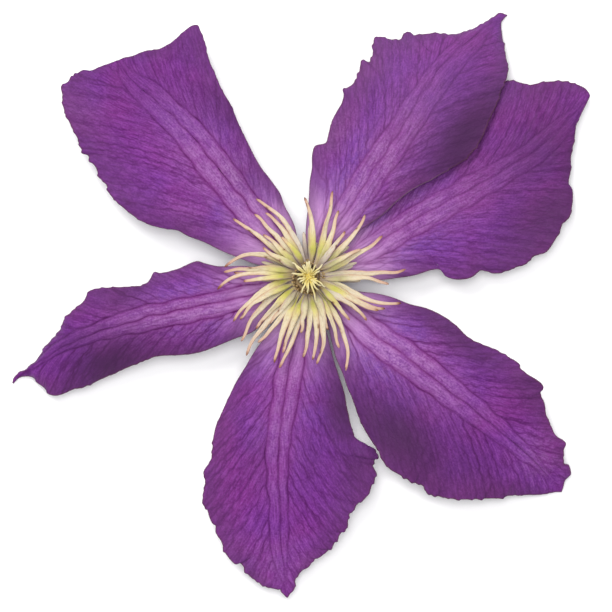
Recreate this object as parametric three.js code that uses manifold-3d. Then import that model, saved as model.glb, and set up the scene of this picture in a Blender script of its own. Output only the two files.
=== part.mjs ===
// A single clematis flower, wide open, resting face up on its drooping tepal tips and on the
// cut end of its stalk. Six purple tepals and a ring of pale strap-like stamens grow round a
// green receptacle, with a yellow column of pistils in the middle.
//
// Millimetres, +Z up through the pistils. The origin is the middle of the stalk's cut face,
// on the surface that the flower lies on.

import * as THREE from 'three';
import { mergeVertices } from 'three/addons/utils/BufferGeometryUtils.js';
import Module from 'manifold-3d';

const wasm = await Module();
wasm.setup();

// ---------------------------------------------------------------------------------------------
// Driving dimensions
// ---------------------------------------------------------------------------------------------

const SEAT_GAP = 0.3;               // clearance where a piece is seated on the receptacle

const STALK_RADIUS = 1.2;
const RECEPTACLE_RADIUS = 3.5;
const RECEPTACLE_TOP = 7.2;

const BLADE_THICKNESS = 0.7;
const BLADE_ROWS = 27;              // cells from a tepal's base to its tip
const BASE_HALF_WIDTH = 1.7;        // of the claw where a tepal joins the receptacle
const VEIN_DEPTH = 0.28;            // the three main veins are grooves this deep
const BAND_HEIGHT = 0.16;           // and the bands between them stand this proud
const VEIN_SPREAD = 3.4;            // most that a side vein lies from the mid-vein
const VEIN_SPREAD_WIDTH = 4.5;      // half width of blade that gives half of that spread

const COLLAR_INNER_RADIUS = 1.95;
const COLLAR_OUTER_RADIUS = 3.35;
const COLLAR_HEIGHT = 1.0;
const COLLAR_BOTTOM = RECEPTACLE_TOP + SEAT_GAP;
const STAMEN_ROOT_RADIUS = 2.7;
const STAMEN_THICKNESS = 0.6;
const STAMEN_WIDTH = 1.5;           // at its widest, a third of the way out
const STAMEN_TIP_WIDTH = 0.62;
const STAMEN_CREST = 10.3;          // height of a middling stamen at its highest
const MIDDLING_REACH = 14;
const SHORTNESS_LIFT = 0.12;        // shorter stamens stand higher, by this for each mm
const STAMEN_STEPS = 6;

const COLUMN_RADIUS = 1.5;
const COLUMN_TOP = 12.2;
const STYLE_ROOT_RADIUS = 0.5;
const STYLE_ROOT_HEIGHT = 11.2;
const STYLE_THICKNESS = 0.6;
const STYLE_CREST = 12.6;
const STYLE_STEPS = 4;

// ---------------------------------------------------------------------------------------------
// Tepals. Each one lies along its azimuth (degrees from +X). Its outline is two edges, left and
// right as seen from the middle of the flower, from claw to tip, as points [out, across] in mm
// along and across that azimuth. heights, leftFall and rightFall are evenly spaced from claw to
// tip: the height of the mid-vein, and how far each margin hangs below it.
// ---------------------------------------------------------------------------------------------

const TEPALS = [
  {
    name: 'tepal_1', azimuth: 53.5, clawTurn: 21.5,
    left: [
      [7.4, 6.0], [10.5, 7.8], [14, 10.1], [18, 12.5], [19.5, 13.0], [21.0, 11.8], [25.3, 13.3],
      [28.8, 13.8], [30.7, 15.0], [32.8, 14.1], [34.7, 14.5], [36.75, 15.3], [37.4, 14.1],
      [38.6, 14.3], [41.1, 15.8], [42.2, 15.1], [43.8, 12.2], [45.6, 11.9], [47, 9.5],
      [49.7, 5.75], [51.75, 3.7], [54.7, 2.0], [58, 0.8],
    ],
    right: [
      [7.5, -1.7], [12.6, -2.6], [16.75, -4.0], [21.3, -4.9], [24.7, -6.1], [27.2, -7.4],
      [30, -8.5], [33.8, -10], [38, -10.2], [41.75, -9.3], [45, -8.6], [48.5, -7.5],
      [49.9, -7.3], [52.8, -4.9], [55.9, -1.75], [57.4, -0.7],
    ],
    vein: [[17, 2.0], [31, 2.4], [45, 2.8], [53, 0.9]],
    tip: [59.6, -0.2],
    heights: [6.2, 7.9, 8.9, 9.0, 7.9, 5.3, 0.2],
    leftFall: [0.1, 0.8, 1.2, 1.3, 1.2, 0.8, 0],
    rightFall: [0.1, 0.9, 1.6, 2.5, 2.7, 1.4, 0],
    wave: 0.35, waves: 3.5, wavePhase: 0.1,
  },
  {
    name: 'tepal_2', azimuth: 33.4, clawTurn: -13.4,
    left: [
      [8, 2.6], [12, 4.5], [22, 8], [32, 10.5], [42, 11], [48.4, 9.8], [50.1, 9.2],
      [50.9, 8.25], [52.2, 6.9], [54.25, 6.1], [57.6, 4.1], [59, 2.6], [60.2, 0.75],
    ],
    right: [
      [5.5, -3.8], [8.2, -5.9], [13.4, -9], [19.25, -11.2], [20.7, -12.7], [21.3, -14.5],
      [24.7, -16.2], [26.3, -16], [28.2, -17.9], [31.75, -19], [35.9, -19.2], [38, -19.8],
      [39.7, -19.25], [42.2, -18], [44.9, -16.9], [46.75, -15.1], [48.2, -12.4],
      [51.3, -7.8], [55.3, -3.6], [58, -2],
    ],
    vein: [[12, -2.4], [25, -2.7], [45, -2.7], [54, -1.6]],
    tip: [60.2, -0.7],
    heights: [5.2, 5.7, 5.6, 5.0, 4.2, 3.2, 2.2],
    leftFall: [0.1, 0.7, 1.2, 1.6, 1.2, 0.5, 0],
    rightFall: [0.1, 0.5, 0.9, 1.0, 0.8, 0.4, 0],
    wave: 0.3, waves: 3.0, wavePhase: 0.3,
  },
  {
    name: 'tepal_3', azimuth: -40.5, clawTurn: 0.5,
    left: [
      [8, 3.5], [11, 5.5], [17, 8], [23, 10.3], [29, 10.3], [33, 11.5], [38.6, 12.6],
      [39.7, 12.1], [44.7, 12.4], [45.1, 11.1], [48.4, 8.9], [52.6, 7.1], [54.5, 7.3],
      [56.75, 4.3], [57.6, 4.6], [58.8, 3.7], [58.8, 2.4],
    ],
    right: [
      [8, -4.2], [13.2, -7.9], [18.4, -10.7], [24.7, -14], [29.9, -15.6], [33.6, -16.8],
      [37.6, -16], [40.1, -15.2], [41.3, -15.6], [44.25, -14.25], [48, -11.5], [52, -7.8],
      [53, -6.3], [57.2, -2.6],
    ],
    vein: [[17, 0.6], [32, 0.9], [46, 0.9], [54, 0.5]],
    tip: [59.8, 0.1],
    heights: [5.6, 7.2, 8.2, 8.3, 7.0, 4.4, 0.2],
    leftFall: [0.1, 0.4, 0.6, 0.7, 0.6, 0.4, 0],
    rightFall: [0.1, 0.8, 1.7, 2.1, 1.9, 1.0, 0],
    wave: 0.35, waves: 3.5, wavePhase: 0.55,
  },
  {
    name: 'tepal_4', azimuth: -94.1, clawTurn: -2.9,
    left: [
      [8, 3.3], [14.5, 5.5], [20, 7.7], [27, 9.8], [28.3, 10.5], [30.3, 14.1], [31.5, 14.6],
      [33, 13.9], [34.5, 14.6], [38.4, 13.4], [40.4, 11.4], [44, 10.1], [48, 7.6],
      [50.4, 4.7], [54.5, 1.5], [56, 1.5],
    ],
    right: [
      [10.9, -6.75], [14, -8.7], [20, -11.7], [25, -13.6], [28, -14.7], [34, -15.1],
      [36, -16.2], [42, -16], [44.5, -14.6], [47, -13.3], [50.5, -11.4], [52.2, -9.7],
      [52.2, -8.5], [54, -7.2], [56, -3.8], [56.3, -1],
    ],
    vein: [[16, -2.2], [30, -3.1], [45, -2.2], [52, -0.9]],
    tip: [57.9, 0.3],
    heights: [5.6, 6.9, 7.5, 7.2, 6.1, 4.5, 2.6],
    leftFall: [0.1, 1.0, 2.2, 2.6, 1.2, 0.5, 0],
    rightFall: [0.1, 0.6, 1.0, 1.2, 1.0, 0.5, 0],
    wave: 0.3, waves: 3.0, wavePhase: 0.8,
  },
  {
    name: 'tepal_5', azimuth: 199.5, clawTurn: 0,
    left: [
      [8, 4.0], [13, 6], [20, 6.2], [23, 6.2], [28, 5], [33, 4.3], [41, 4.8], [49.8, 5],
      [50.8, 4.4], [51.5, 2.8], [52.8, 0.5], [55.0, 0.1],
    ],
    right: [
      [10, -5.5], [15, -7.3], [18, -9.3], [22, -9.1], [26, -9.9], [27, -8.9], [28.7, -8.4],
      [35, -10.2], [38, -10.6], [42, -8.3], [44.5, -6.5], [48, -4.3], [50.6, -2.3],
      [53.5, -1.2],
    ],
    vein: [[19, -1.3], [27, -2.6], [35, -3], [42, -3], [49, -1.6]],
    tip: [57.2, -0.2],
    heights: [5.6, 7.3, 8.4, 8.4, 7.2, 4.6, 0.2],
    leftFall: [0.1, 1.2, 2.2, 3.0, 3.0, 1.8, 0],
    rightFall: [0.1, 1.0, 1.8, 2.4, 2.2, 1.2, 0],
    wave: 0.25, waves: 3.0, wavePhase: 0.2,
  },
  {
    name: 'tepal_6', azimuth: 137.4, clawTurn: 0,
    left: [
      [8, 4.5], [15, 7.3], [21, 9.3], [23, 9.8], [27, 12.3], [31, 13.3], [36.3, 13.2],
      [38, 12.4], [42, 11.2], [45, 10.9], [49, 9.2], [53, 7.4], [55.7, 5], [55.4, 2],
      [54, -0.5],
    ],
    right: [
      [8, -4.9], [14, -7.5], [19, -8.5], [25, -10.5], [31, -13.1], [37, -15.4], [42, -18.2],
      [44.5, -19.5], [45.9, -19], [46.5, -15.5], [47.5, -11.8], [49, -10], [50.6, -7.0],
    ],
    vein: [[17, -1.7], [27, -3.6], [34, -4.5], [40, -4.9], [47, -5]],
    tip: [51.5, -5.5],
    heights: [5.6, 7.0, 7.8, 7.9, 7.1, 5.8, 4.2],
    leftFall: [0.1, 0.6, 1.0, 1.2, 1.0, 0.6, 0],
    rightFall: [0.1, 0.6, 1.0, 1.3, 1.2, 0.8, 0],
    wave: 0.35, waves: 3.0, wavePhase: 0.45,
  },
];

// ---------------------------------------------------------------------------------------------
// Stamens: [reach, azimuth at a third of the way, at two thirds, at the tip], in mm and degrees,
// round the ring from +X.
// ---------------------------------------------------------------------------------------------

const STAMENS = [
  [17.4, 5, 3, 4], [15.1, 20, 25, 28], [10.5, 31, 29, 28], [15.0, 40, 42.5, 47.7],
  [10.4, 47, 50, 51], [13.0, 54, 61.5, 66.3], [15.9, 67, 72, 73.6], [14.2, 83, 87, 93],
  [16.8, 108, 115, 124.4], [13.8, 117, 118.5, 124.5], [8.6, 116, 120, 125],
  [14.8, 127, 129, 131], [11.1, 135, 135.5, 137], [17.1, 140.5, 141, 142], [9.7, 146, 148, 148],
  [15.2, 150.5, 156.5, 173], [15.2, 165, 172, 176.5], [13.4, 172, 175, 178],
  [16.5, 176, 177, 188], [11.7, 180, 182, 185], [15.7, 192, 201.5, 210.7],
  [14.5, 203, 204.5, 212], [16.7, 206, 214.5, 223.5], [13.3, 219, 222, 224.4],
  [18.0, 227, 227.5, 231], [11.0, 229, 230, 230], [14.9, 236, 235, 233], [16.6, 241, 244.5, 249],
  [14.4, 253, 250.5, 251], [17.2, 258, 255.5, 252], [10.2, 262, 262, 263], [14.5, 272, 270, 266],
  [14.9, 279.5, 278.5, 272], [15.7, 288, 284.5, 275.5], [10.1, 294, 291.5, 290],
  [13.9, 300, 297.5, 292.5], [18.1, 306, 301.5, 291.7], [10.7, 318, 315, 313],
  [13.0, 322, 326.5, 323], [13.9, 333, 332, 334], [14.8, 338, 334, 337.3],
  [17.2, 343, 339, 344], [14.4, 356.5, 359, 354],
];

// Styles: [reach, azimuth] of each tip, round the column from +X.
const STYLES = [
  [2.2, 24], [3.3, 40], [2.5, 57], [2.8, 88], [2.3, 117], [3.2, 136], [3.9, 142], [3.1, 166],
  [2.1, 194], [1.9, 212], [3.3, 244.5], [3.0, 267.5], [4.8, 288], [3.0, 303], [1.9, 317],
  [2.8, 320], [3.5, 332],
];

// ---------------------------------------------------------------------------------------------
// Helpers
// ---------------------------------------------------------------------------------------------

const MERGE_DISTANCE = 1e-4;
const radians = THREE.MathUtils.degToRad;

// A smooth line through evenly spaced values, read at u from 0 to 1.
function smoothValue(values, u) {
  const last = values.length - 1;
  const at = Math.min(Math.max(u, 0), 1) * last;
  const cell = Math.min(Math.floor(at), last - 1);
  const f = at - cell;
  const before = values[Math.max(cell - 1, 0)];
  const from = values[cell];
  const to = values[cell + 1];
  const after = values[Math.min(cell + 2, last)];
  const startSlope = (to - before) / 2;
  const endSlope = (after - from) / 2;
  return from + f * (startSlope + f * (3 * (to - from) - 2 * startSlope - endSlope
    + f * (2 * (from - to) + startSlope + endSlope)));
}

// A repeatable stream of numbers between 0 and 1.
function seededDraws(seed) {
  let state = seed;
  return () => {
    state = (state * 16807) % 2147483647;
    return state / 2147483647;
  };
}

function meshGeometry(points, triangles) {
  const geometry = new THREE.BufferGeometry();
  geometry.setAttribute('position', new THREE.Float32BufferAttribute(points.flat(), 3));
  geometry.setIndex(triangles.flat());
  return geometry;
}

function toSolid(source) {
  const bare = source.clone();
  bare.deleteAttribute('normal');
  bare.deleteAttribute('uv');
  const merged = mergeVertices(bare, MERGE_DISTANCE);
  return new wasm.Manifold(new wasm.Mesh({
    numProp: 3,
    vertProperties: new Float32Array(merged.attributes.position.array),
    triVerts: new Uint32Array(merged.index.array),
  }));
}

function fuse(geometries) {
  const [first, ...rest] = geometries.map(toSolid);
  const fused = rest.reduce((whole, solid) => whole.add(solid), first).getMesh();
  const geometry = new THREE.BufferGeometry();
  geometry.setAttribute('position', new THREE.BufferAttribute(fused.vertProperties, 3));
  geometry.setIndex(new THREE.BufferAttribute(fused.triVerts, 1));
  return geometry;
}

// A body of revolution about Z through [radius, height] points listed from the bottom up, or
// once round a ring.
function turned(profile, sides) {
  const points = profile.map(([radius, height]) => new THREE.Vector2(radius, height));
  return new THREE.LatheGeometry(points, sides).rotateX(Math.PI / 2);
}

// A tapering strap along a list of centre points, four-sided, flat side up, closed at both ends.
function strap(centres, widths, thickness) {
  const points = [];
  const triangles = [];
  const last = centres.length - 1;
  centres.forEach((centre, i) => {
    const along = centres[Math.min(i + 1, last)].clone().sub(centres[Math.max(i - 1, 0)]);
    const across = new THREE.Vector3(-along.y, along.x, 0).normalize();
    const up = new THREE.Vector3().crossVectors(along, across).normalize();
    for (const [side, rise] of [[-1, 0], [0, 1], [1, 0], [0, -1]]) {
      points.push(centre.clone()
        .addScaledVector(across, side * widths[i] / 2)
        .addScaledVector(up, rise * thickness / 2)
        .toArray());
    }
  });
  for (let i = 0; i < last; i += 1) {
    for (let k = 0; k < 4; k += 1) {
      const a = 4 * i + k;
      const b = 4 * i + (k + 1) % 4;
      triangles.push([a, a + 4, b], [b, a + 4, b + 4]);
    }
  }
  const end = 4 * last;
  triangles.push([0, 1, 2], [0, 2, 3], [end, end + 2, end + 1], [end, end + 3, end + 2]);
  return meshGeometry(points, triangles);
}

function piece(name, geometry, color, roughness) {
  const material = new THREE.MeshStandardMaterial({ color, roughness, metalness: 0 });
  const mesh = new THREE.Mesh(geometry, material);
  mesh.name = name;
  return mesh;
}

// ---------------------------------------------------------------------------------------------
// Receptacle: the cut stalk, widening into the knob that carries the flower
// ---------------------------------------------------------------------------------------------

function receptacleGeometry() {
  return turned([
    [0, 0], [STALK_RADIUS, 0], [STALK_RADIUS, 2.0], [1.9, 2.9], [3.0, 4.0],
    [RECEPTACLE_RADIUS, 5.0], [RECEPTACLE_RADIUS, 6.5], [3.1, RECEPTACLE_TOP],
    [0, RECEPTACLE_TOP],
  ], 20);
}

// ---------------------------------------------------------------------------------------------
// Tepal blade
// ---------------------------------------------------------------------------------------------

// Points evenly spaced along one of a tepal's lines, from the claw to the tip.
function evenPoints(clawPoint, line, tip) {
  const points = [clawPoint, ...line, tip].map(([out, across]) => (
    new THREE.Vector3(out, across, 0)));
  const curve = new THREE.CatmullRomCurve3(points, false, 'centripetal');
  curve.arcLengthDivisions = 60 * points.length;
  return curve.getSpacedPoints(BLADE_ROWS);
}

// How far across a half blade each column lies, from the mid-vein (0) to the margin (1). The
// second column is the band's crest and the third is the side vein.
function columnFractions(halfWidth) {
  const sideVein = VEIN_SPREAD / (halfWidth + VEIN_SPREAD_WIDTH);
  const rest = 1 - sideVein;
  return [0, sideVein / 2, sideVein, sideVein + rest / 3, sideVein + 2 * rest / 3, 1];
}

const COLUMN_RELIEF = [-VEIN_DEPTH, BAND_HEIGHT, -VEIN_DEPTH, 0, 0, 0];

// Veins and waves fade out over the first sixth and the last fifth of a blade.
function endFade(u) {
  return Math.min(1, 6 * u, 5 * (1 - u));
}

function tepalGeometry(tepal) {
  const turn = radians(tepal.clawTurn);
  const seatRadius = RECEPTACLE_RADIUS + SEAT_GAP;
  const claw = (side) => [
    seatRadius * Math.cos(turn) - side * BASE_HALF_WIDTH * Math.sin(turn),
    seatRadius * Math.sin(turn) + side * BASE_HALF_WIDTH * Math.cos(turn),
  ];
  const left = evenPoints(claw(1), tepal.left, tepal.tip);
  const middle = evenPoints(claw(0), tepal.vein, tepal.tip);
  const right = evenPoints(claw(-1), tepal.right, tepal.tip);

  // The middle surface, one row of points for each step from claw to tip.
  const rows = middle.map((veinPoint, i) => {
    const u = i / BLADE_ROWS;
    const fade = endFade(u);
    const wave = tepal.wave * fade
      * Math.sin(2 * Math.PI * (tepal.waves * u + tepal.wavePhase));
    const point = (margin, fall, fraction, relief, waveSign) => {
      const at = veinPoint.clone().lerp(margin, fraction);
      at.z = smoothValue(tepal.heights, u) - smoothValue(fall, u) * fraction ** 2
        + relief * fade + waveSign * wave * fraction ** 3;
      return at;
    };
    const toRight = columnFractions(veinPoint.distanceTo(right[i])).map((f, k) => (
      point(right[i], tepal.rightFall, f, COLUMN_RELIEF[k], 1)));
    const toLeft = columnFractions(veinPoint.distanceTo(left[i])).map((f, k) => (
      point(left[i], tepal.leftFall, f, COLUMN_RELIEF[k], -1)));
    return [...toRight.reverse(), ...toLeft.slice(1)];
  });
  return bladeGeometry(rows);
}

// Thickens a grid of points, whose last row is a single tip point, into a closed blade. Both
// faces are split into triangles alike, and nothing reaches below the resting surface.
function bladeGeometry(rows) {
  const columns = rows[0].length;
  const body = rows.slice(0, -1);
  const tip = rows[rows.length - 1][0];
  const normalAt = (i, j) => {
    const along = rows[i + 1][j].clone().sub(rows[Math.max(i - 1, 0)][j]);
    const across = rows[i][Math.min(j + 1, columns - 1)].clone()
      .sub(rows[i][Math.max(j - 1, 0)]);
    return new THREE.Vector3().crossVectors(along, across).normalize();
  };
  const points = [];
  for (const face of [1, -1]) {
    const offset = face * BLADE_THICKNESS / 2;
    body.forEach((row, i) => row.forEach((point, j) => {
      points.push(point.clone().addScaledVector(normalAt(i, j), offset));
    }));
    points.push(tip.clone().setZ(tip.z + offset));
  }
  for (const point of points) point.z = Math.max(point.z, 0);

  const faceSize = body.length * columns + 1;
  const tipIndex = faceSize - 1;
  const index = (i, j) => (i < body.length ? i * columns + j : tipIndex);
  const triangles = [];
  const addBothFaces = (a, b, c) => {
    triangles.push([a, b, c], [a + faceSize, c + faceSize, b + faceSize]);
  };
  const addRim = (a, b) => {
    triangles.push([a, a + faceSize, b], [b, a + faceSize, b + faceSize]);
  };
  for (let i = 0; i < body.length; i += 1) {
    for (let j = 0; j < columns - 1; j += 1) {
      addBothFaces(index(i, j), index(i + 1, j), index(i, j + 1));
      if (i + 1 < body.length) {
        addBothFaces(index(i, j + 1), index(i + 1, j), index(i + 1, j + 1));
      }
    }
    addRim(index(i, 0), index(i + 1, 0));
    addRim(index(i + 1, columns - 1), index(i, columns - 1));
  }
  for (let j = 0; j < columns - 1; j += 1) addRim(index(0, j + 1), index(0, j));
  return meshGeometry(points.map((point) => point.toArray()), triangles);
}

// ---------------------------------------------------------------------------------------------
// Stamens: flat straps that rise from a collar, arch over and end above the tepals
// ---------------------------------------------------------------------------------------------

function stamenGeometry([reach, third, twoThirds, end], draw) {
  const lift = SHORTNESS_LIFT * (MIDDLING_REACH - reach) + 0.7 * (draw() - 0.5);
  const broad = STAMEN_WIDTH * (0.85 + 0.3 * draw());
  const rootHeight = COLLAR_BOTTOM + COLLAR_HEIGHT / 2;
  const heights = [rootHeight, STAMEN_CREST - 0.3 + lift, STAMEN_CREST + lift,
    STAMEN_CREST - 0.2 + lift, STAMEN_CREST - 0.5 + 0.8 * lift];
  const widths = [0.9, 0.95 * broad, 0.85 * broad, 0.9, STAMEN_TIP_WIDTH];
  const rootShare = STAMEN_ROOT_RADIUS / reach;
  const centres = [];
  const stepWidths = [];
  for (let i = 0; i <= STAMEN_STEPS; i += 1) {
    const f = i / STAMEN_STEPS;
    const share = rootShare + (1 - rootShare) * f;
    const h = 3 * share - 1;            // 0 at a third of the reach, 2 at the tip
    const azimuth = radians(third + (twoThirds - third) * h
      + (end - 2 * twoThirds + third) * h * (h - 1) / 2);
    const radius = reach * share;
    centres.push(new THREE.Vector3(radius * Math.cos(azimuth), radius * Math.sin(azimuth),
      smoothValue(heights, f)));
    stepWidths.push(smoothValue(widths, f));
  }
  return strap(centres, stepWidths, STAMEN_THICKNESS);
}

function stamensGeometry() {
  const top = COLLAR_BOTTOM + COLLAR_HEIGHT;
  const collar = turned([
    [COLLAR_INNER_RADIUS, COLLAR_BOTTOM], [COLLAR_OUTER_RADIUS, COLLAR_BOTTOM],
    [COLLAR_OUTER_RADIUS, top], [COLLAR_INNER_RADIUS, top],
    [COLLAR_INNER_RADIUS, COLLAR_BOTTOM],
  ], 24);
  const draw = seededDraws(11);
  return fuse([collar, ...STAMENS.map((row) => stamenGeometry(row, draw))]);
}

// ---------------------------------------------------------------------------------------------
// Pistils: a column whose styles arch out from the top
// ---------------------------------------------------------------------------------------------

function styleGeometry([reach, azimuth], draw) {
  const direction = radians(azimuth);
  const droop = 0.5 * draw();
  const centres = [];
  const widths = [];
  for (let i = 0; i <= STYLE_STEPS; i += 1) {
    const f = i / STYLE_STEPS;
    const radius = STYLE_ROOT_RADIUS + (reach - STYLE_ROOT_RADIUS) * f;
    const height = STYLE_ROOT_HEIGHT + (STYLE_CREST - STYLE_ROOT_HEIGHT) * Math.sin(2.2 * f)
      - droop * f * f;
    centres.push(new THREE.Vector3(radius * Math.cos(direction), radius * Math.sin(direction),
      height));
    widths.push(STYLE_THICKNESS * (1.1 - 0.2 * f));
  }
  return strap(centres, widths, STYLE_THICKNESS);
}

function pistilsGeometry() {
  const column = turned([
    [0, COLLAR_BOTTOM], [COLUMN_RADIUS, COLLAR_BOTTOM], [1.4, 9.5], [1.2, 11.0], [0.9, 11.9],
    [0.5, COLUMN_TOP], [0, COLUMN_TOP],
  ], 12);
  const draw = seededDraws(7);
  return fuse([column, ...STYLES.map((row) => styleGeometry(row, draw))]);
}

// ---------------------------------------------------------------------------------------------
// The flower
// ---------------------------------------------------------------------------------------------

const flower = new THREE.Group();
flower.add(piece('receptacle', receptacleGeometry(), 0x8c9a4a, 0.6));
for (const tepal of TEPALS) {
  const mesh = piece(tepal.name, tepalGeometry(tepal), 0x7d3791, 0.55);
  mesh.rotation.z = radians(tepal.azimuth);
  flower.add(mesh);
}
flower.add(piece('stamens', stamensGeometry(), 0xe1d7a0, 0.6));
flower.add(piece('pistils', pistilsGeometry(), 0xe6d878, 0.6));

export default flower;
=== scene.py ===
import math

import bpy
import numpy as np
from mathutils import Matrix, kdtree


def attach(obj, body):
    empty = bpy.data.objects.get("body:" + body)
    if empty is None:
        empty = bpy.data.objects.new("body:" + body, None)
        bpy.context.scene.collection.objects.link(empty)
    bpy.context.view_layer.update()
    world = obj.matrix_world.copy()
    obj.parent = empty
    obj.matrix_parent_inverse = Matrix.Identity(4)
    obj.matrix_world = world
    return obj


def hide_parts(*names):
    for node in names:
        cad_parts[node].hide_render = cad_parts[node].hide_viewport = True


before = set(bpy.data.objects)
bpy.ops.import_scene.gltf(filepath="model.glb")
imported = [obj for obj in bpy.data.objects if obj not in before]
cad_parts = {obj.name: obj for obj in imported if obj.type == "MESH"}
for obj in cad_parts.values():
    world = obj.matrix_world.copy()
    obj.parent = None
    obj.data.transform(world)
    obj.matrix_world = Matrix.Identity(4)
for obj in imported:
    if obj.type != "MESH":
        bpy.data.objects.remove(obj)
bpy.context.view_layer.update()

# A clematis flower lying face up. Each piece called fine_ and a solid's name is modelled finely
# over that solid and replaces it. Lengths below are in mm in the frame's axes.

MM = 0.001

# ---- Driving dimensions ----

SEAT_GAP = 0.3
RECEPTACLE_RADIUS = 3.5
RECEPTACLE_TOP = 7.2
STALK_RADIUS = 1.2
COLLAR_BOTTOM = RECEPTACLE_TOP + SEAT_GAP
COLLAR_TOP = COLLAR_BOTTOM + 1.0

BLADE_THICKNESS = 0.5
MARGIN_THICKNESS = 0.28
BASE_HALF_WIDTH = 1.7
BLADE_ROWS = 300  # cells from claw to tip
HALF_COLUMNS = 72  # cells from the mid-vein to each margin
TIP_CELL = 0.35  # of a cell that the last row stays short of the tip, so that no face collapses
MAIN_VEIN_DEPTH = 0.14
MAIN_VEIN_WIDTH = 0.28
MAIN_VEIN_BEND = 0.2
FLUSH_WIDTH = 0.75  # of the redder skin along the main veins
BAND_HEIGHT = 0.1
LATERAL_DEPTH = 0.07
LATERAL_WIDTH = 0.2
LATERAL_LEVELS = 240  # steps from the side vein to the margin
LATERAL_ANGLE = 23  # degrees, where a lateral leaves the side vein
LATERAL_TURN = 20  # degrees more by the margin
LATERAL_ROOTS = (2.0, 3.6)  # between the laterals where they leave the side vein
LATERAL_STRENGTHS = (0.35, 1.1)
ROOTED_STRETCH = (0.02, 0.95)  # shares of a blade's length between which laterals root
ROOTED_LENGTH = 5.0  # that a rooted lateral counts as having from the start
MOST_ROOTS = 40
FORK_STRENGTH = 0.88  # of the strength of the vein that forks
FORK_GAP = (1.6, 3.6)  # a lateral forks into a gap as wide as this
MERGE_GAP = 0.5  # and ends where its neighbour comes as near as this
FORK_LENGTH = 1.2  # a vein forks only when it is longer than this, and ends
MERGE_LENGTH = 3  # only where it and its neighbour are longer than this
WIGGLE = 0.17  # radians, of each of the three waves in a lateral
MINOR_PLACES = (0.38, 0.7, 1.35, 1.8)  # from the mid-vein, as shares of the side vein's place
MINOR_WIDTH = 0.17
MINOR_BEND = 0.22
EDGE_SMOOTHING = 22  # rows
SPLINE_STEPS = 24  # from one outline point to the next
WANDER_WAVES = 5
PUCKER = 0.14
TOOTH_HEIGHT = 0.42
TOOTH_SPACING = 1.3
TOOTH_RAMPS = (0.9, 0.35)  # a tooth is long on the claw's side and short on the tip's
FRILL = 0.12
RIM_WIDTH = 0.3
THIN_WIDTH = 1.2  # over which a blade thins to its margin
NET_CELL = (1.25, 2.0)  # a cell of the fine net beyond the side veins
INNER_NET_CELL = (0.6, 1.8)  # and between them

STAMEN_ROOT_RADIUS = 2.7
STAMEN_COLOUR_RUN = 12  # from there outward, over which the colours change
STAMEN_WIDTH = 1.38
STAMEN_TIP_WIDTH = 0.45
STAMEN_THICKNESS = 0.45
STAMEN_CREST = 10.3
STAMEN_CHANNEL = 0.6  # depth as a share of half the thickness
STAMEN_ROLL = 0.55  # radians
MIDDLING_REACH = 14
SHORTNESS_LIFT = 0.12
STAMEN_STEPS = 34
STAMEN_SIDES = 16
STAMEN_SEED = 11  # this and PISTIL_SEED set out the solids too
FINE_STAMEN_SEED = 4

LOW_STAMENS = 44
LOW_REACH = (6.0, 9.5)
INNER_FILAMENTS = 84
WELL_RADIUS = (2.1, 2.6)
WELL_OPENS_TOWARD = 245  # degrees: the side where the stamens stand further out

STYLE_ROOT_RADIUS = 0.4
STYLE_ROOT_HEIGHT = 11.2
STYLE_CREST = 12.6
STYLE_THICKNESS = 0.33
SHORT_STYLES = 34
LEANING_STYLES = 6
PISTIL_SEED = 7
FINE_PISTIL_SEED = 8
DRAW_FACTOR = 16807
DRAW_MODULUS = 2147483647
COLUMN_RADIUS = 1.2
COLUMN_HAIRS = 60
HAIR_REACH = (0.3, 0.5)
HAIR_HEIGHTS = (8.9, 10.4)
GOLDEN_TURN = 2.4  # radians from each style or hair to the next one

# The studio. Each level is how bright that light alone shows a level white surface.
SKY_LEVEL = 0.62
KEY_LEVEL = 0.5
TOP_LEVEL = 0.63
STUDIO_LEVEL = SKY_LEVEL + KEY_LEVEL + TOP_LEVEL

# ---- Tepals ----
# Each lies along its azimuth (degrees from +X), and claw_turn is how far its seat is turned from
# there. Its outline is two edges, left and right as seen from the middle of the flower, from claw
# to tip, as points [out, across]; vein gives the mid-vein in the same way. heights, left_fall and
# right_fall are evenly spaced from claw to tip: the height of the mid-vein, and how far each
# margin hangs below it. So are the two lists in spread: how far the left and right side veins lie
# from the mid-vein. wave is how high the margins wave, waves how often and wave_phase from where.
# teeth gives how toothed the left and right edges are. seed, plus a number for each use, starts
# the tepal's random draws. mains is how dark the main veins are, laterals the lateral ones and
# minor the thin ones beside the main ones, and bands how pale the skin between them is. The shade
# and light lists are patches of painted shade and painted light, each (out, across, length, width,
# strength): the shade darkens the blade where it turns away from the light or lies in a
# neighbour's shadow, and the light makes it paler where it is lit or lifts such a shadow. glow is
# how pale its base is, partly its own colour and partly painted light against the stamens' shade,
# and bloom how grey its outer part. The stretch given for the edge is where the right margin
# carries a painted highlight, a thin line of light along its rim.

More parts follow.
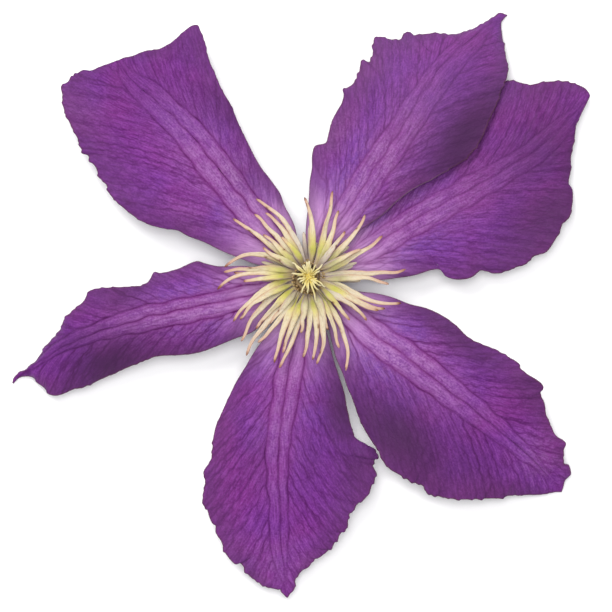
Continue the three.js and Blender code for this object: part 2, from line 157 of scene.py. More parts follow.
TEPALS = [dict(
    name="tepal_1", azimuth=53.5, claw_turn=21.5,
    left=[
        [7.4, 6.0], [10.5, 7.8], [12.2, 8.9], [14, 10.1], [16, 11.1], [18, 12.5], [19.5, 13.0],
        [20.7, 12.0], [21.3, 11.75], [23, 12.5], [25.3, 13.3], [28.8, 13.8], [29.9, 14.3], [30.7, 15.0],
        [31.3, 14.6], [32.8, 14.1], [34.7, 14.5], [36.75, 15.3], [37.4, 14.1], [38.6, 14.3],
        [41.1, 15.8], [42, 15.5], [42.4, 14.5], [43.8, 12.2], [45.6, 11.9], [45.7, 11.0], [47, 9.5],
        [48.5, 7.8], [49.7, 5.75], [51.75, 3.7], [54.7, 2.0], [57.4, 1.0], [58.5, 0.75],
    ],
    right=[
        [7.5, -1.7], [12.6, -2.6], [16.75, -4.0], [21.3, -4.9], [24.7, -6.1], [27.2, -7.4], [30, -8.5],
        [33.8, -10], [38, -10.2], [41.75, -9.3], [45, -8.6], [48.5, -7.5], [49.9, -7.3], [51.75, -6.1],
        [52.8, -4.9], [54.25, -3.4], [55.9, -1.75], [57.4, -0.6], [58.4, -0.55],
    ],
    vein=[[10, 1.4], [16, 1.5], [22, 2.0], [30, 2.35], [38, 3.1], [46, 3.1], [53, 1.6],
          [58, 0.2]],
    spread=([0.8, 2.2, 2.6, 2.2, 1.7, 1.4, 0], [0.8, 2.3, 2.9, 3.0, 3.3, 2.4, 0]),
    tip=[59.2, -0.75],
    heights=[6.2, 7.9, 8.9, 9.0, 7.9, 5.3, 0.2],
    left_fall=[0.1, 0.8, 1.2, 1.3, 1.2, 0.8, 0],
    right_fall=[0.1, 0.9, 1.6, 2.5, 2.7, 1.4, 0],
    wave=0.35, waves=3.5, wave_phase=0.1, teeth=(0.9, 0.8), seed=3, painted_highlight_edge=(13, 32),
    mains=0.65, bands=0.75, laterals=0.75, minor=0.5, bloom=0.15,
    painted_shade=[(37, -7.5, 11, 5, 0.9), (30, -6, 6, 3, 0.5), (43, 1, 5, 1.5, 0.2),
           (52, 0, 5, 5, 0.18)],
    light=[(22, -3, 4, 2.5, 0.25), (23, 11.5, 5, 3, 0.3)], glow=0.9,
), dict(
    name="tepal_2", azimuth=33.4, claw_turn=-13.4,
    left=[
        [8, 2.6], [12, 4.5], [22, 8], [32, 10.5], [42, 11], [48.4, 9.8], [50.1, 9.2], [50.9, 8.25],
        [52.2, 6.9], [54.25, 6.1], [56.3, 5.0], [57.6, 4.1], [59, 2.6], [59.8, 1.6], [60.2, 0.75],
    ],
    right=[
        [5.5, -3.8], [8.2, -5.9], [10.5, -7.6], [13.4, -9], [16.3, -10.3], [19.25, -11.2],
        [20.3, -11.8], [20.7, -12.7], [20.5, -13.2], [21.3, -14.5], [23, -15.7], [24.7, -16.2],
        [26.3, -16], [27.2, -16.75], [28.2, -17.9], [30, -18.6], [31.75, -19], [33.6, -19.5],
        [35.9, -19.2], [38, -19.8], [39.7, -19.25], [42.2, -18], [43.4, -17.1], [44.9, -16.9],
        [46.75, -15.1], [48.1, -13.1], [48.2, -11.75], [49.7, -10.1], [51.3, -7.8], [53.4, -5.7],
        [55.3, -3.6], [58, -2],
    ],
    vein=[[12, -1.8], [20, -1.8], [30, -2.6], [40, -3.3], [46, -3.5], [54, -2.3]],
    spread=([0.8, 1.9, 2.2, 2.35, 1.95, 1.8, 0], [0.8, 2.3, 2.85, 2.7, 2.4, 2.2, 0]),
    tip=[60.2, -0.7],
    heights=[5.2, 5.7, 5.6, 5.0, 4.2, 3.2, 2.2],
    left_fall=[0.1, 0.7, 1.2, 1.6, 1.2, 0.5, 0],
    right_fall=[0.1, 0.5, 0.9, 1.0, 0.8, 0.4, 0],
    wave=0.3, waves=3.0, wave_phase=0.3, teeth=(0.7, 0.6), seed=5,
    mains=0.7, bands=0.7, laterals=0.75, minor=0.5, bloom=0.04,
    painted_shade=[(42, -14, 10, 6, 0.65), (49, -5, 12, 9, 0.55), (34, 3, 5, 3, 0.3)],
    light=[(23, 2, 4, 2.5, 0.22)], glow=1.0,
), dict(
    name="tepal_3", azimuth=-40.5, claw_turn=0.5,
    left=[
        [8, 3.5], [11, 5.5], [14, 7], [17, 8], [20, 9.5], [23, 10.3], [26, 10.5], [29, 10.3],
        [31, 10.8], [33, 11.5], [36, 12.2], [38.6, 12.6], [39.7, 12.1], [44.7, 12.4], [45.1, 11.1],
        [46.75, 10.3], [48.4, 8.9], [50.5, 7.8], [52.6, 7.1], [54.5, 7.3], [55.1, 6], [56.75, 4.3],
        [57.6, 4.6], [58.8, 3.7], [58.8, 2.4], [59.5, 0.75],
    ],
    right=[
        [8, -4.2], [13.2, -7.9], [15.9, -9.25], [18.4, -10.7], [19.7, -11.3], [22.2, -12.7],
        [24.7, -14], [27.2, -14.9], [29.9, -15.6], [30.9, -16.25], [33.6, -16.8], [35.7, -16.3],
        [37.6, -16], [40.1, -15.2], [41.3, -15.6], [44.25, -14.25], [46.3, -13], [48, -11.5],
        [49.7, -9.9], [52, -7.8], [53, -6.3], [55.1, -4.5], [57.2, -2.6], [58.6, -0.9],
    ],
    vein=[[15, -0.1], [25, 0.5], [35, 0.9], [45, 1.25], [54, 1.0]],
    spread=([0.8, 2.1, 2.75, 2.5, 2.05, 1.2, 0], [0.8, 2.7, 3.05, 2.7, 2.2, 1.4, 0]),
    tip=[59.8, 0.1],
    heights=[5.6, 7.2, 8.2, 8.3, 7.0, 4.4, 0.2],
    left_fall=[0.1, 0.4, 0.6, 0.7, 0.6, 0.4, 0],
    right_fall=[0.1, 0.8, 1.7, 2.1, 1.9, 1.0, 0],
    wave=0.35, waves=3.5, wave_phase=0.55, teeth=(0.45, 1.0), seed=9,
    mains=0.95, bands=0.9, laterals=0.95, minor=0.1,
    painted_shade=[(31, -11, 11, 6, 0.85), (26, 9, 14, 3, 0.5), (42, -7, 12, 5, 0.36),
           (33, -5, 5, 2.5, 0.25), (43, 11, 5, 5, 0.42)],
    light=[(52, 2, 5, 4, 0.3)], glow=1.0,
), dict(
    name="tepal_4", azimuth=-94.1, claw_turn=-2.9,
    left=[
        [8, 3.3], [14.5, 5.5], [17, 6.5], [20, 7.7], [24, 8.8], [27, 9.8], [28.3, 10.5], [29.3, 12.3],
        [30.3, 14.1], [31.5, 14.6], [32, 14], [33, 13.9], [34.5, 14.6], [36, 14.1], [38.4, 13.4],
        [39.5, 12.2], [40.4, 11.4], [41.6, 10.8], [42, 10.2], [44, 10.1], [45.6, 9], [48, 7.6],
        [50.2, 5.4], [50.4, 4.7], [52, 3.7], [52.5, 2.8], [54.5, 1.5], [56, 1.5], [57, 0.8],
    ],
    right=[
        [10.9, -6.75], [14, -8.7], [17, -10.2], [20, -11.7], [22, -12.5], [25, -13.6], [28, -14.7],
        [31, -15], [34, -15.1], [36, -16.2], [38, -15.9], [42, -16], [42.7, -15.3], [44.5, -14.6],
        [45.5, -13.6], [47, -13.3], [48.5, -12.3], [50.5, -11.4], [52.2, -9.7], [52.2, -8.5],
        [54, -7.2], [55.4, -5], [56, -3.8], [56.4, -1.6], [56.3, -1], [57, -0.7],
    ],
    vein=[[16, -2.3], [22, -2.8], [30, -3.15], [37, -2.8], [45, -1.8], [52, -0.9]],
    spread=([0.8, 2.3, 2.5, 1.85, 1.6, 1.1, 0], [0.8, 2.0, 2.2, 2.3, 1.9, 1.9, 0]),
    tip=[57.9, 0.3],
    heights=[5.6, 6.9, 7.5, 7.2, 6.1, 4.5, 2.6],
    left_fall=[0.1, 1.0, 2.2, 2.6, 1.2, 0.5, 0],
    right_fall=[0.1, 0.6, 1.0, 1.2, 1.0, 0.5, 0],
    wave=0.3, waves=3.0, wave_phase=0.8, teeth=(1.0, 0.9), seed=14,
    mains=1.0, bands=0.62, laterals=0.82, minor=0.1,
    painted_shade=[(23, 8, 7, 4, 0.75), (33, 11, 6, 4, 0.4), (33, -8, 5, 2.5, 0.22),
           (33, 3, 5, 2.5, 0.25)],
    light=[(52, -2, 5, 7, 0.22)], glow=1.2,
), dict(
    name="tepal_5", azimuth=199.5, claw_turn=0,
    left=[
        [8, 4.0], [13, 6], [16, 6], [20, 6.2], [23, 6.2], [26, 5.6], [28, 5], [30.5, 4.3], [33, 4.3],
        [37, 4.5], [41, 4.8], [45, 5.1], [46, 4.9], [49.8, 5], [50.8, 4.4], [51.5, 2.8], [52.2, 1.8],
        [52.8, 0.4], [54.5, -0.35], [55.5, -0.3],
    ],
    right=[
        [10, -5.5], [13.5, -6.7], [15, -7.3], [17, -8.6], [18, -9.3], [22, -9.1], [25, -9.5],
        [26, -9.9], [27, -8.9], [28.7, -8.4], [31, -9], [35, -10.2], [37.5, -10.7], [38.3, -10.4],
        [39.5, -9.3], [42, -8.3], [44, -7.3], [44.5, -6.5], [46, -5.3], [48, -4.3], [50, -2.9],
        [51.5, -1.9], [53.5, -1.2], [55.2, -1.0], [56.2, -0.5],
    ],
    vein=[[15, -0.8], [20, -1.6], [30, -2.8], [38, -3.2], [45, -2.9], [51, -1.5], [54.5, -0.75]],
    spread=([0.8, 2.1, 2.6, 2.35, 1.5, 0.6, 0], [0.8, 1.9, 1.8, 2.15, 1.7, 1.2, 0]),
    tip=[56.7, 0.3],
    heights=[5.6, 7.3, 8.4, 8.4, 7.2, 4.6, 0.2],
    left_fall=[0.1, 1.2, 2.2, 3.0, 3.0, 1.8, 0],
    right_fall=[0.1, 1.0, 1.8, 2.4, 2.2, 1.2, 0],
    wave=0.25, waves=3.0, wave_phase=0.2, teeth=(0.55, 0.75), seed=21,
    mains=1.15, bands=0.92, laterals=1.0, minor=0.5,
    painted_shade=[(39, 2, 9, 4.5, 0.85), (43, -3, 8, 3, 0.45), (33, -7.5, 6, 3, 0.5)],
    light=[(22, 8, 7, 3, 0.25), (24, -10, 6, 2, 0.25)], glow=1.2,
), dict(
    name="tepal_6", azimuth=137.4, claw_turn=0,
    left=[
        [8, 4.5], [11.5, 6], [15, 7.3], [18, 8.1], [21, 9.3], [23, 9.8], [25, 11.2], [27, 12.3],
        [29, 13], [31, 13.3], [34.5, 13.4], [36.3, 13.2], [38, 12.4], [39.5, 12.3], [42, 11.2],
        [43, 11.5], [43.5, 10.8], [45, 10.9], [47, 9.9], [49, 9.2], [51, 8.4], [53, 7.4], [54.5, 6],
        [55.7, 5], [55.5, 3.5], [55.4, 2], [55, 0.4], [54, -0.5], [53, -2.5],
    ],
    right=[
        [8, -4.9], [12, -6.5], [14, -7.5], [17, -8.2], [19, -8.5], [22, -9.4], [25, -10.5], [28, -11.7],
        [31, -13.1], [34, -14.1], [37, -15.4], [40, -16.8], [42, -18.2], [44.5, -19.5], [45.2, -19.7],
        [45.9, -19], [46.3, -16.5], [46.7, -13.8], [47.5, -11.8], [49, -10], [50, -8], [51, -6.5],
    ],
    vein=[[15, -1.8], [25, -3.3], [30, -4.1], [36, -4.65], [42, -4.6], [48, -4.5]],
    spread=([0.8, 2.6, 3.1, 3.15, 2.7, 2, 0.5], [0.8, 1.9, 2.5, 2.75, 2.5, 2.4, 0.5]),
    tip=[51.5, -5.5],
    heights=[5.6, 7.0, 7.8, 7.9, 7.1, 5.8, 4.2],
    left_fall=[0.1, 0.6, 1.0, 1.2, 1.0, 0.6, 0],
    right_fall=[0.1, 0.6, 1.0, 1.3, 1.2, 0.8, 0],
    wave=0.35, waves=3.0, wave_phase=0.45, teeth=(0.9, 0.3), seed=27,
    mains=1.0, bands=0.85, laterals=0.75, minor=0.1,
    painted_shade=[(34, -11, 9, 4, 0.35), (20, -6, 5, 3, 0.3), (48, -5, 12, 9, 0.24),
           (43, -15, 5, 4, 0.25)],
    light=[(23, 7, 5, 3, 0.2), (51, 6, 4, 4, 0.15)], glow=0.95,
)]

# Stamens: [reach, azimuth at a third of the way, at two thirds, at the tip].
STAMENS = [
    [17.4, 5, 3, 4], [15.1, 20, 25, 28], [10.5, 31, 29, 28], [15.0, 40, 42.5, 47.7],
    [10.4, 47, 50, 51], [13.0, 54, 61.5, 66.3], [15.9, 67, 72, 73.6], [14.2, 83, 87, 93],
    [16.8, 108, 115, 124.4], [13.8, 117, 118.5, 124.5], [8.6, 116, 120, 125],
    [14.8, 127, 129, 131], [11.1, 135, 135.5, 137], [17.1, 140.5, 141, 142],
    [9.7, 146, 148, 148], [15.2, 150.5, 156.5, 173], [15.2, 165, 172, 176.5],
    [13.4, 172, 175, 178], [16.5, 176, 177, 188], [11.7, 180, 182, 185],
    [15.7, 192, 201.5, 210.7], [14.5, 203, 204.5, 212], [16.7, 206, 214.5, 223.5],
    [13.3, 219, 222, 224.4], [18.0, 227, 227.5, 231], [11.0, 229, 230, 230],
    [14.9, 236, 235, 233], [16.6, 241, 244.5, 249], [14.4, 253, 250.5, 251],
    [17.2, 258, 255.5, 252], [10.2, 262, 262, 263], [14.5, 272, 270, 266],
    [14.9, 279.5, 278.5, 272], [15.7, 288, 284.5, 275.5], [10.1, 294, 291.5, 290],
    [13.9, 300, 297.5, 292.5], [18.1, 306, 301.5, 291.7], [10.7, 318, 315, 313],
    [13.0, 322, 326.5, 323], [13.9, 333, 332, 334], [14.8, 338, 334, 337.3],
    [17.2, 343, 339, 344], [14.4, 356.5, 359, 354],
]

# Styles: [reach, azimuth] of each tip.
STYLES = [
    [2.2, 24], [3.3, 40], [2.5, 57], [2.8, 88], [2.3, 117], [3.2, 136], [3.9, 142],
    [3.1, 166], [2.1, 194], [1.9, 212], [3.3, 244.5], [3.0, 267.5], [4.8, 288],
    [3.0, 303], [1.9, 317], [2.8, 320], [3.5, 332],
]

# ---- Helpers ----


def smooth_value(values, u):
    """A smooth line through evenly spaced values, read at u from 0 to 1 (an array or a number)."""
    values = np.asarray(values, float)
    last = len(values) - 1
    at = np.clip(u, 0, 1) * last
    cell = np.minimum(np.floor(at).astype(int), last - 1)
    f = at - cell
    before = values[np.maximum(cell - 1, 0)]
    start = values[cell]
    end = values[cell + 1]
    after = values[np.minimum(cell + 2, last)]
    start_slope = (end - before) / 2
    end_slope = (after - start) / 2
    cubic = 2 * (start - end) + start_slope + end_slope
    square = 3 * (end - start) - 2 * start_slope - end_slope
    return start + f * (start_slope + f * (square + f * cubic))


def spline_points(points):
    """A centripetal spline through plan points, sampled densely."""
    p = np.asarray(points, float)
    p = np.vstack([2 * p[0] - p[1], p, 2 * p[-1] - p[-2]])
    out = []
    f = np.linspace(0, 1, SPLINE_STEPS, endpoint=False)[:, None]
    for before, start, end, after in zip(p, p[1:], p[2:], p[3:]):
        d0, d1, d2 = (
            max(np.linalg.norm(b - a) ** 0.5, 1e-4)
            for a, b in ((before, start), (start, end), (end, after))
        )
        m1 = ((start - before) / d0 - (end - before) / (d0 + d1) + (end - start) / d1) * d1
        m2 = ((end - start) / d1 - (after - start) / (d1 + d2) + (after - end) / d2) * d1
        out.append(
            start + f * m1
            + f**2 * (3 * (end - start) - 2 * m1 - m2)
            + f**3 * (2 * (start - end) + m1 + m2)
        )
    return np.vstack(out + [p[-2:-1]])


def lengths_along(line):
    """How far along a line of points each of them lies."""
    steps = np.linalg.norm(np.diff(line, axis=0), axis=1)
    return np.concatenate([[0], np.cumsum(steps)])


def even_points(line, shares):
    """Points at the given shares of a line's length."""
    along = lengths_along(line)
    at = shares * along[-1]
    return np.stack([np.interp(at, along, line[:, k]) for k in range(line.shape[1])], 1)


def rising(x, start, over):
    """0 up to the start, then rising to 1 over the given distance."""
    return np.clip((x - start) / over, 0, 1)


def falling(x, end, over):
    """1, then falling to 0 over the given distance before the end."""
    return np.clip((end - x) / over, 0, 1)


def unit(values):
    """The values, held between 0 and 1."""
    return np.clip(values, 0, 1)


def bell(distance, width):
    """1 at no distance, fading smoothly over about a width to both sides."""
    return np.exp(-((distance / width) ** 2))


def wander(x, seed):
    """A smooth, repeatable wander between about -1 and 1 whose bends are a unit or two long."""
    rng = np.random.default_rng(seed)
    total = 0.0
    for _ in range(WANDER_WAVES):
        total = total + np.sin(2 * math.pi * (rng.uniform(0.25, 1.0) * x + rng.uniform()))
    return total * 1.5 / WANDER_WAVES


def drawn_wander(x, rng):
    """A wander whose seed is the next draw."""
    return wander(x, int(rng.integers(1 << 30)))


def add_object(name, data):
    """A new object in the scene for a mesh, camera or light."""
    thing = bpy.data.objects.new(name, data)
    bpy.context.scene.collection.objects.link(thing)
    return thing


def add_mesh(name, vertices, faces, attributes, material):
    """A smooth-shaded mesh piece from vertices in mm, faces, and {name: value per vertex}."""
    mesh = bpy.data.meshes.new(name)
    mesh.from_pydata((np.asarray(vertices) * MM).tolist(), [], faces)
    for key, values in attributes.items():
        layer = mesh.attributes.new(key, "FLOAT", "POINT")
        layer.data.foreach_set("value", np.asarray(values, np.float32))
    mesh.polygons.foreach_set("use_smooth", [True] * len(mesh.polygons))
    mesh.materials.append(material)
    mesh.update()
    return add_object(name, mesh)


def grid_faces(rows, columns, start=0, wrap=False):
    """Quads over a grid of rows by columns vertices, numbered row by row from start."""
    r = np.arange(rows - 1)[:, None]
    c = np.arange(columns if wrap else columns - 1)[None, :]
    a = start + r * columns + c
    b = start + r * columns + (c + 1) % columns
    return np.stack([a, a + columns, b + columns, b], -1).reshape(-1, 4)


# ---- Materials ----


def seen(red, green, blue):
    """The pigment that looks like a 0 to 255 screen colour under this studio's light."""
    def channel(value):
        value /= 255
        value = value / 12.92 if value <= 0.04045 else ((value + 0.055) / 1.055) ** 2.4
        return value / STUDIO_LEVEL
    return tuple(channel(v) for v in (red, green, blue))


class Nodes:
    """Short calls for building one material's node tree. skin is its colour so far. Where a call
    takes a value, the name of a vertex attribute stands for that attribute. Noise scales are per
    metre, or per unit of the vector that is given."""

    def __init__(self, name):
        self.material = bpy.data.materials.new(name)
        self.material.use_nodes = True
        self.tree = self.material.node_tree
        self.tree.nodes.clear()
        self.shader = self.tree.nodes.new("ShaderNodeBsdfPrincipled")
        output = self.tree.nodes.new("ShaderNodeOutputMaterial")
        self.tree.links.new(self.shader.outputs["BSDF"], output.inputs["Surface"])

    def feed(self, socket, value):
        """Links an output or attribute to a socket, or sets it to a number, colour or vector."""
        if isinstance(value, str):
            value = self.node("ShaderNodeAttribute", "Fac", {}, attribute_name=value)
        if isinstance(value, bpy.types.NodeSocket):
            self.tree.links.new(value, socket)
        elif isinstance(value, tuple) and socket.type == "RGBA":
            socket.default_value = (*value, 1.0)
        else:
            socket.default_value = value

    def node(self, kind, output, inputs, **settings):
        """Adds a node, feeds its inputs by name or number, and gives one of its outputs."""
        node = self.tree.nodes.new(kind)
        for key, value in settings.items():
            setattr(node, key, value)
        for key, value in inputs.items():
            self.feed(node.inputs[key], value)
        return node.outputs[output]

    def vector(self, x, y):
        return self.node("ShaderNodeCombineXYZ", "Vector", {"X": x, "Y": y})

    def noise(self, scale, detail=2.0, vector=None, output="Fac"):
        if vector is None:
            vector = self.node("ShaderNodeTexCoord", "Object", {})
        inputs = {"Vector": vector, "Scale": scale, "Detail": detail}
        return self.node("ShaderNodeTexNoise", output, inputs)

    def vector_math(self, operation, vector, socket, value):
        inputs = {0: vector, socket: value}
        return self.node("ShaderNodeVectorMath", "Vector", inputs, operation=operation)

    def shaken(self, vector, scale, amount):
        """A vector pushed about by noise."""
        noise = self.noise(scale, 1.0, vector, "Color")
        centred = self.vector_math("SUBTRACT", noise, 1, (0.5, 0.5, 0.5))
        push = self.vector_math("SCALE", centred, "Scale", amount)
        return self.vector_math("ADD", vector, 1, push)

    def cell_walls(self, vector, width):
        """1 on the walls between irregular cells a unit across, fading to 0 at width from them."""
        distance = self.node("ShaderNodeTexVoronoi", "Distance", {"Vector": vector, "Scale": 1.0},
                             feature="DISTANCE_TO_EDGE", voronoi_dimensions="2D")
        return self.spread(distance, 0.0, width, 1.0, 0.0)

    def spread(self, value, low, high, to_low=0.0, to_high=1.0):
        """A value held between low and high, and stretched to a new range."""
        inputs = {"Value": value, "From Min": low, "From Max": high,
                  "To Min": to_low, "To Max": to_high}
        return self.node("ShaderNodeMapRange", "Result", inputs, clamp=True)

    def math(self, operation, a, b):
        return self.node("ShaderNodeMath", "Value", {0: a, 1: b}, operation=operation)

    def product(self, first, *others):
        """The product of one or more values."""
        for other in others:
            first = self.math("MULTIPLY", first, other)
        return first

    def mix(self, factor, a, b):
        """A blend of two colours: the mix node's inputs 6 and 7, and its output 2."""
        return self.node("ShaderNodeMix", 2, {0: factor, 6: a, 7: b}, data_type="RGBA")

    def ramp(self, value, stops):
        """A row of screen colours, each (place, red, green, blue), read at a value."""
        color = self.node("ShaderNodeValToRGB", "Color", {"Fac": value})
        elements = color.node.color_ramp.elements
        elements.remove(elements[1])
        for k, (place, *levels) in enumerate(stops):
            element = elements[0] if k == 0 else elements.new(place)
            element.position = place
            element.color = (*seen(*levels), 1.0)
        return color

    def coat(self, color, *factors):
        """Lays a colour, as three screen levels or an output, over the skin so far, as thickly as
        the product of the factors."""
        over = seen(*color) if isinstance(color, tuple) else color
        self.skin = self.mix(self.product(*factors), self.skin, over)

    def bump(self, height, strength, distance):
        """Roughens the skin by a height, with a distance in mm."""
        inputs = {"Strength": strength, "Distance": distance * MM, "Height": height}
        normal = self.node("ShaderNodeBump", "Normal", inputs)
        self.feed(self.shader.inputs["Normal"], normal)

    def finish(self, roughness, constants):
        """Gives the shader the skin, its roughness and its constant values."""
        inputs = {"Base Color": self.skin, "Roughness": roughness, **constants}
        for name, value in inputs.items():
            self.feed(self.shader.inputs[name], value)
        return self.material


def tepal_material():
    n = Nodes("tepal_skin")
    clouds = n.noise(95, 2.0)
    mottle = n.noise(650, 3.0)
    speckle = n.noise(3000, 2.0)
    streaks = n.noise(2.2, 3.0, n.vector("net_x", n.product("net_y", 0.4)))
    walls = n.cell_walls(n.shaken(n.vector("net_x", "net_y"), 1.5, 0.6), 0.16)
    grains = n.spread(n.math("ADD", mottle, speckle), 0.84, 1.14, 0.38, 1.1)

    # From the plain skin outward: cloudy, streaked and speckled purple, the pale bands and base with
    # the painted light of the light patches, the base and the claw, the veins and their net, then the
    # dull parts, the paler grey bloom, the painted shade, the rim, the painted highlight along part of
    # the right margin, and the underside.
    n.skin = n.mix(n.spread(clouds, 0.38, 0.62), seen(143, 53, 152), seen(131, 54, 160))
    n.coat((128, 72, 182), "blue", n.spread(clouds, 0.4, 0.56, 0.15, 0.75))
    # The dark and light streaks are partly the skin's own streaking and partly painted shade and
    # painted light for the small folds along the laterals.
    n.coat((98, 30, 110), n.spread(streaks, 0.46, 0.66, 0.0, 0.55))
    n.coat((170, 84, 190), n.spread(streaks, 0.34, 0.46, 0.4, 0.0))
    n.coat((168, 84, 190), n.spread(speckle, 0.48, 0.66, 0.0, 0.38))
    # The pale bands are the skin's own colour. pale also holds the painted light of the light patches.
    n.coat((200, 142, 210), "pale", grains, n.spread(streaks, 0.38, 0.62, 1.1, 0.65))
    # The paler base: partly its own colour, partly painted light against the stamens' shade.
    n.coat((216, 156, 226), "root", n.spread(streaks, 0.38, 0.62, 0.85, 0.55),
           n.spread(mottle, 0.35, 0.6, 0.8, 1.1))
    # The claw: painted light that lifts the stamens' shade on the blade's base.
    n.coat((240, 184, 246), "claw", n.spread(streaks, 0.38, 0.62, 0.92, 0.7))
    n.coat((148, 46, 146), "flush", n.spread(mottle, 0.3, 0.6, 0.25, 0.5))
    n.coat((96, 20, 106), walls, n.spread(mottle, 0.3, 0.6, 0.1, 0.4), "outer")
    vein_color = n.mix(n.math("MAXIMUM", "pale", "root"), seen(82, 6, 90), seen(122, 24, 118))
    n.coat(vein_color, "vein", n.spread(mottle, 0.35, 0.6, 0.65, 1.0))
    n.coat((104, 58, 106), "dull")
    n.coat((142, 112, 150), "bloom")
    # Painted shade: each tepal's shade patches, darker where the blade turns away from the light or
    # lies in a neighbour's shadow.
    n.coat((78, 40, 86), "painted_shade")
    n.coat((112, 68, 80), "rim")
    # Painted highlight: a thin line of light along part of the right margin.
    n.coat((140, 108, 138), "painted_rim_highlight")
    n.coat(n.mix("vein", seen(158, 126, 172), seen(120, 96, 122)), "under")
    grain = n.math("SUBTRACT", n.math("ADD", speckle, mottle), n.product(walls, 0.5))
    n.bump(grain, 0.4, 0.14)
    return n.finish(n.spread(mottle, 0.3, 0.7, 0.52, 0.7), {
        "Sheen Weight": 0.05, "Sheen Roughness": 0.5, "Sheen Tint": (0.75, 0.65, 1.0),
        "Specular IOR Level": 0.1,
    })


def stamen_material():
    n = Nodes("stamen_skin")
    drift = n.product(n.math("SUBTRACT", n.noise(300, 2.0), 0.5), 0.2)
    out = n.math("ADD", "out", drift)
    along = n.math("ADD", "along", drift)
    mottle = n.noise(800, 2.0)
    grain = n.noise(1.0, 2.0, n.vector("grain_x", "grain_y"))
    green = n.ramp(out, [
        (0.0, 198, 178, 134), (0.08, 224, 208, 134), (0.18, 219, 219, 84),
        (0.3, 242, 230, 132), (0.45, 248, 234, 194), (1.0, 253, 234, 210),
    ])
    grey = n.ramp(out, [
        (0.0, 188, 168, 154), (0.12, 224, 211, 197), (0.3, 247, 236, 219),
        (0.55, 248, 234, 204), (1.0, 253, 234, 210),
    ])

    # From the plain skin outward: the grain, the warm sides and the painted shade on the sides near
    # the roots, the tan tip, the brown specks, the low stamens in painted shade, and the filaments.
    n.skin = n.mix("tone", green, grey)
    n.coat((206, 172, 134), n.spread(grain, 0.47, 0.68, 0.0, 0.4))
    n.coat((216, 158, 128), "side", n.spread(along, 0.15, 0.5, 0.3, 0.75))
    # Painted shade: lavender grey on the stamens' sides near their roots, where they lie in each
    # other's shade.
    n.coat((168, 152, 172), "side", n.spread(out, 0.12, 0.4, 0.85, 0.0))
    n.coat((228, 172, 146), n.spread(along, 0.66, 1.0), 0.8)
    n.coat((170, 98, 72), n.spread(along, 0.94, 1.02, 0.0, 0.75))
    n.coat((126, 66, 40), "speck", n.spread(n.noise(900), 0.36, 0.52))
    # Painted shade: the low stamens get the lavender grey of stamens lying in the others' shade.
    n.coat((190, 170, 166), "low")
    n.coat(n.mix("along", seen(154, 116, 74), seen(246, 212, 150)), "well")
    n.bump(n.math("ADD", mottle, grain), 0.4, 0.12)
    return n.finish(n.spread(mottle, 0.3, 0.7, 0.55, 0.75), {
        "Specular IOR Level": 0.25, "Subsurface Weight": 0.12,
        "Subsurface Radius": (0.6 * MM, 0.5 * MM, 0.2 * MM),
    })


def pistil_material():
    n = Nodes("pistil_skin")
    mottle = n.noise(900, 2.0)
    n.skin = n.ramp("along", [
        (0.0, 92, 64, 38), (0.2, 166, 130, 76), (0.4, 255, 226, 104), (0.6, 262, 244, 160),
        (1.0, 255, 244, 200),
    ])
    n.coat((200, 172, 76), n.spread(mottle, 0.5, 0.72, 0.0, 0.5))
    n.bump(mottle, 0.3, 0.1)
    return n.finish(n.spread(mottle, 0.3, 0.7, 0.5, 0.7), {"Specular IOR Level": 0.25})


def receptacle_material():
    n = Nodes("stalk_skin")
    streak = n.noise(500, 4.0)
    n.skin = n.mix(n.spread(streak, 0.35, 0.65), seen(104, 118, 52), seen(148, 158, 88))
    n.coat((196, 200, 146), "cut")
    n.coat((150, 116, 72), "top")
    n.bump(streak, 0.4, 0.2)
    return n.finish(n.spread(streak, 0.3, 0.7, 0.45, 0.65), {})


def floor_material():
    n = Nodes("floor_paint")
    drift = n.spread(n.noise(3.0, 1.0), 0.3, 0.7)
    n.skin = n.mix(drift, (0.93, 0.93, 0.93), (0.95, 0.95, 0.95))
    return n.finish(0.9, {"Specular IOR Level": 0.1})


# ---- Tepal outlines and veins ----


def end_fade(u):
    """Veins and waves fade out over the first sixth and the last fifth of a blade."""
    return np.minimum(1, np.minimum(6 * u, 5 * (1 - u)))


def claw_point(tepal, side):
    """Where a line of the blade starts: side is 1 on the left edge, 0 on the mid-vein, or -1."""
    turn = math.radians(tepal["claw_turn"])
    seat = RECEPTACLE_RADIUS + SEAT_GAP
    return [
        seat * math.cos(turn) - side * BASE_HALF_WIDTH * math.sin(turn),
        seat * math.sin(turn) + side * BASE_HALF_WIDTH * math.cos(turn),
    ]


def toothed(line, side, size, seed):
    """Pushes small pointed teeth out of a sampled edge, in its outer three quarters."""
    rng = np.random.default_rng(seed)
    along = lengths_along(line)
    share = along / along[-1]
    count = int(along[-1] / TOOTH_SPACING)
    places = np.linspace(0, along[-1], count) + rng.uniform(-0.45, 0.45, count) * TOOTH_SPACING
    heights = rng.uniform(0.05, 1.0, count) ** 1.4
    push = np.zeros(len(line))
    for place, height in zip(places, heights):
        ramp = np.where(along < place, *TOOTH_RAMPS)
        push = np.maximum(push, height * unit(1 - np.abs(along - place) / ramp))
    grown = rising(share, 0.28, 0.25) * falling(share, 1, 0.03)
    heading = np.gradient(line, axis=0)
    heading /= np.maximum(np.linalg.norm(heading, axis=1, keepdims=True), 1e-9)
    outward = side * np.stack([-heading[:, 1], heading[:, 0]], 1)
    return line + outward * (push * grown * size * TOOTH_HEIGHT)[:, None]


def cross_product(a, b):
    """The cross product of each pair of plan vectors."""
    return a[:, 0] * b[:, 1] - a[:, 1] * b[:, 0]


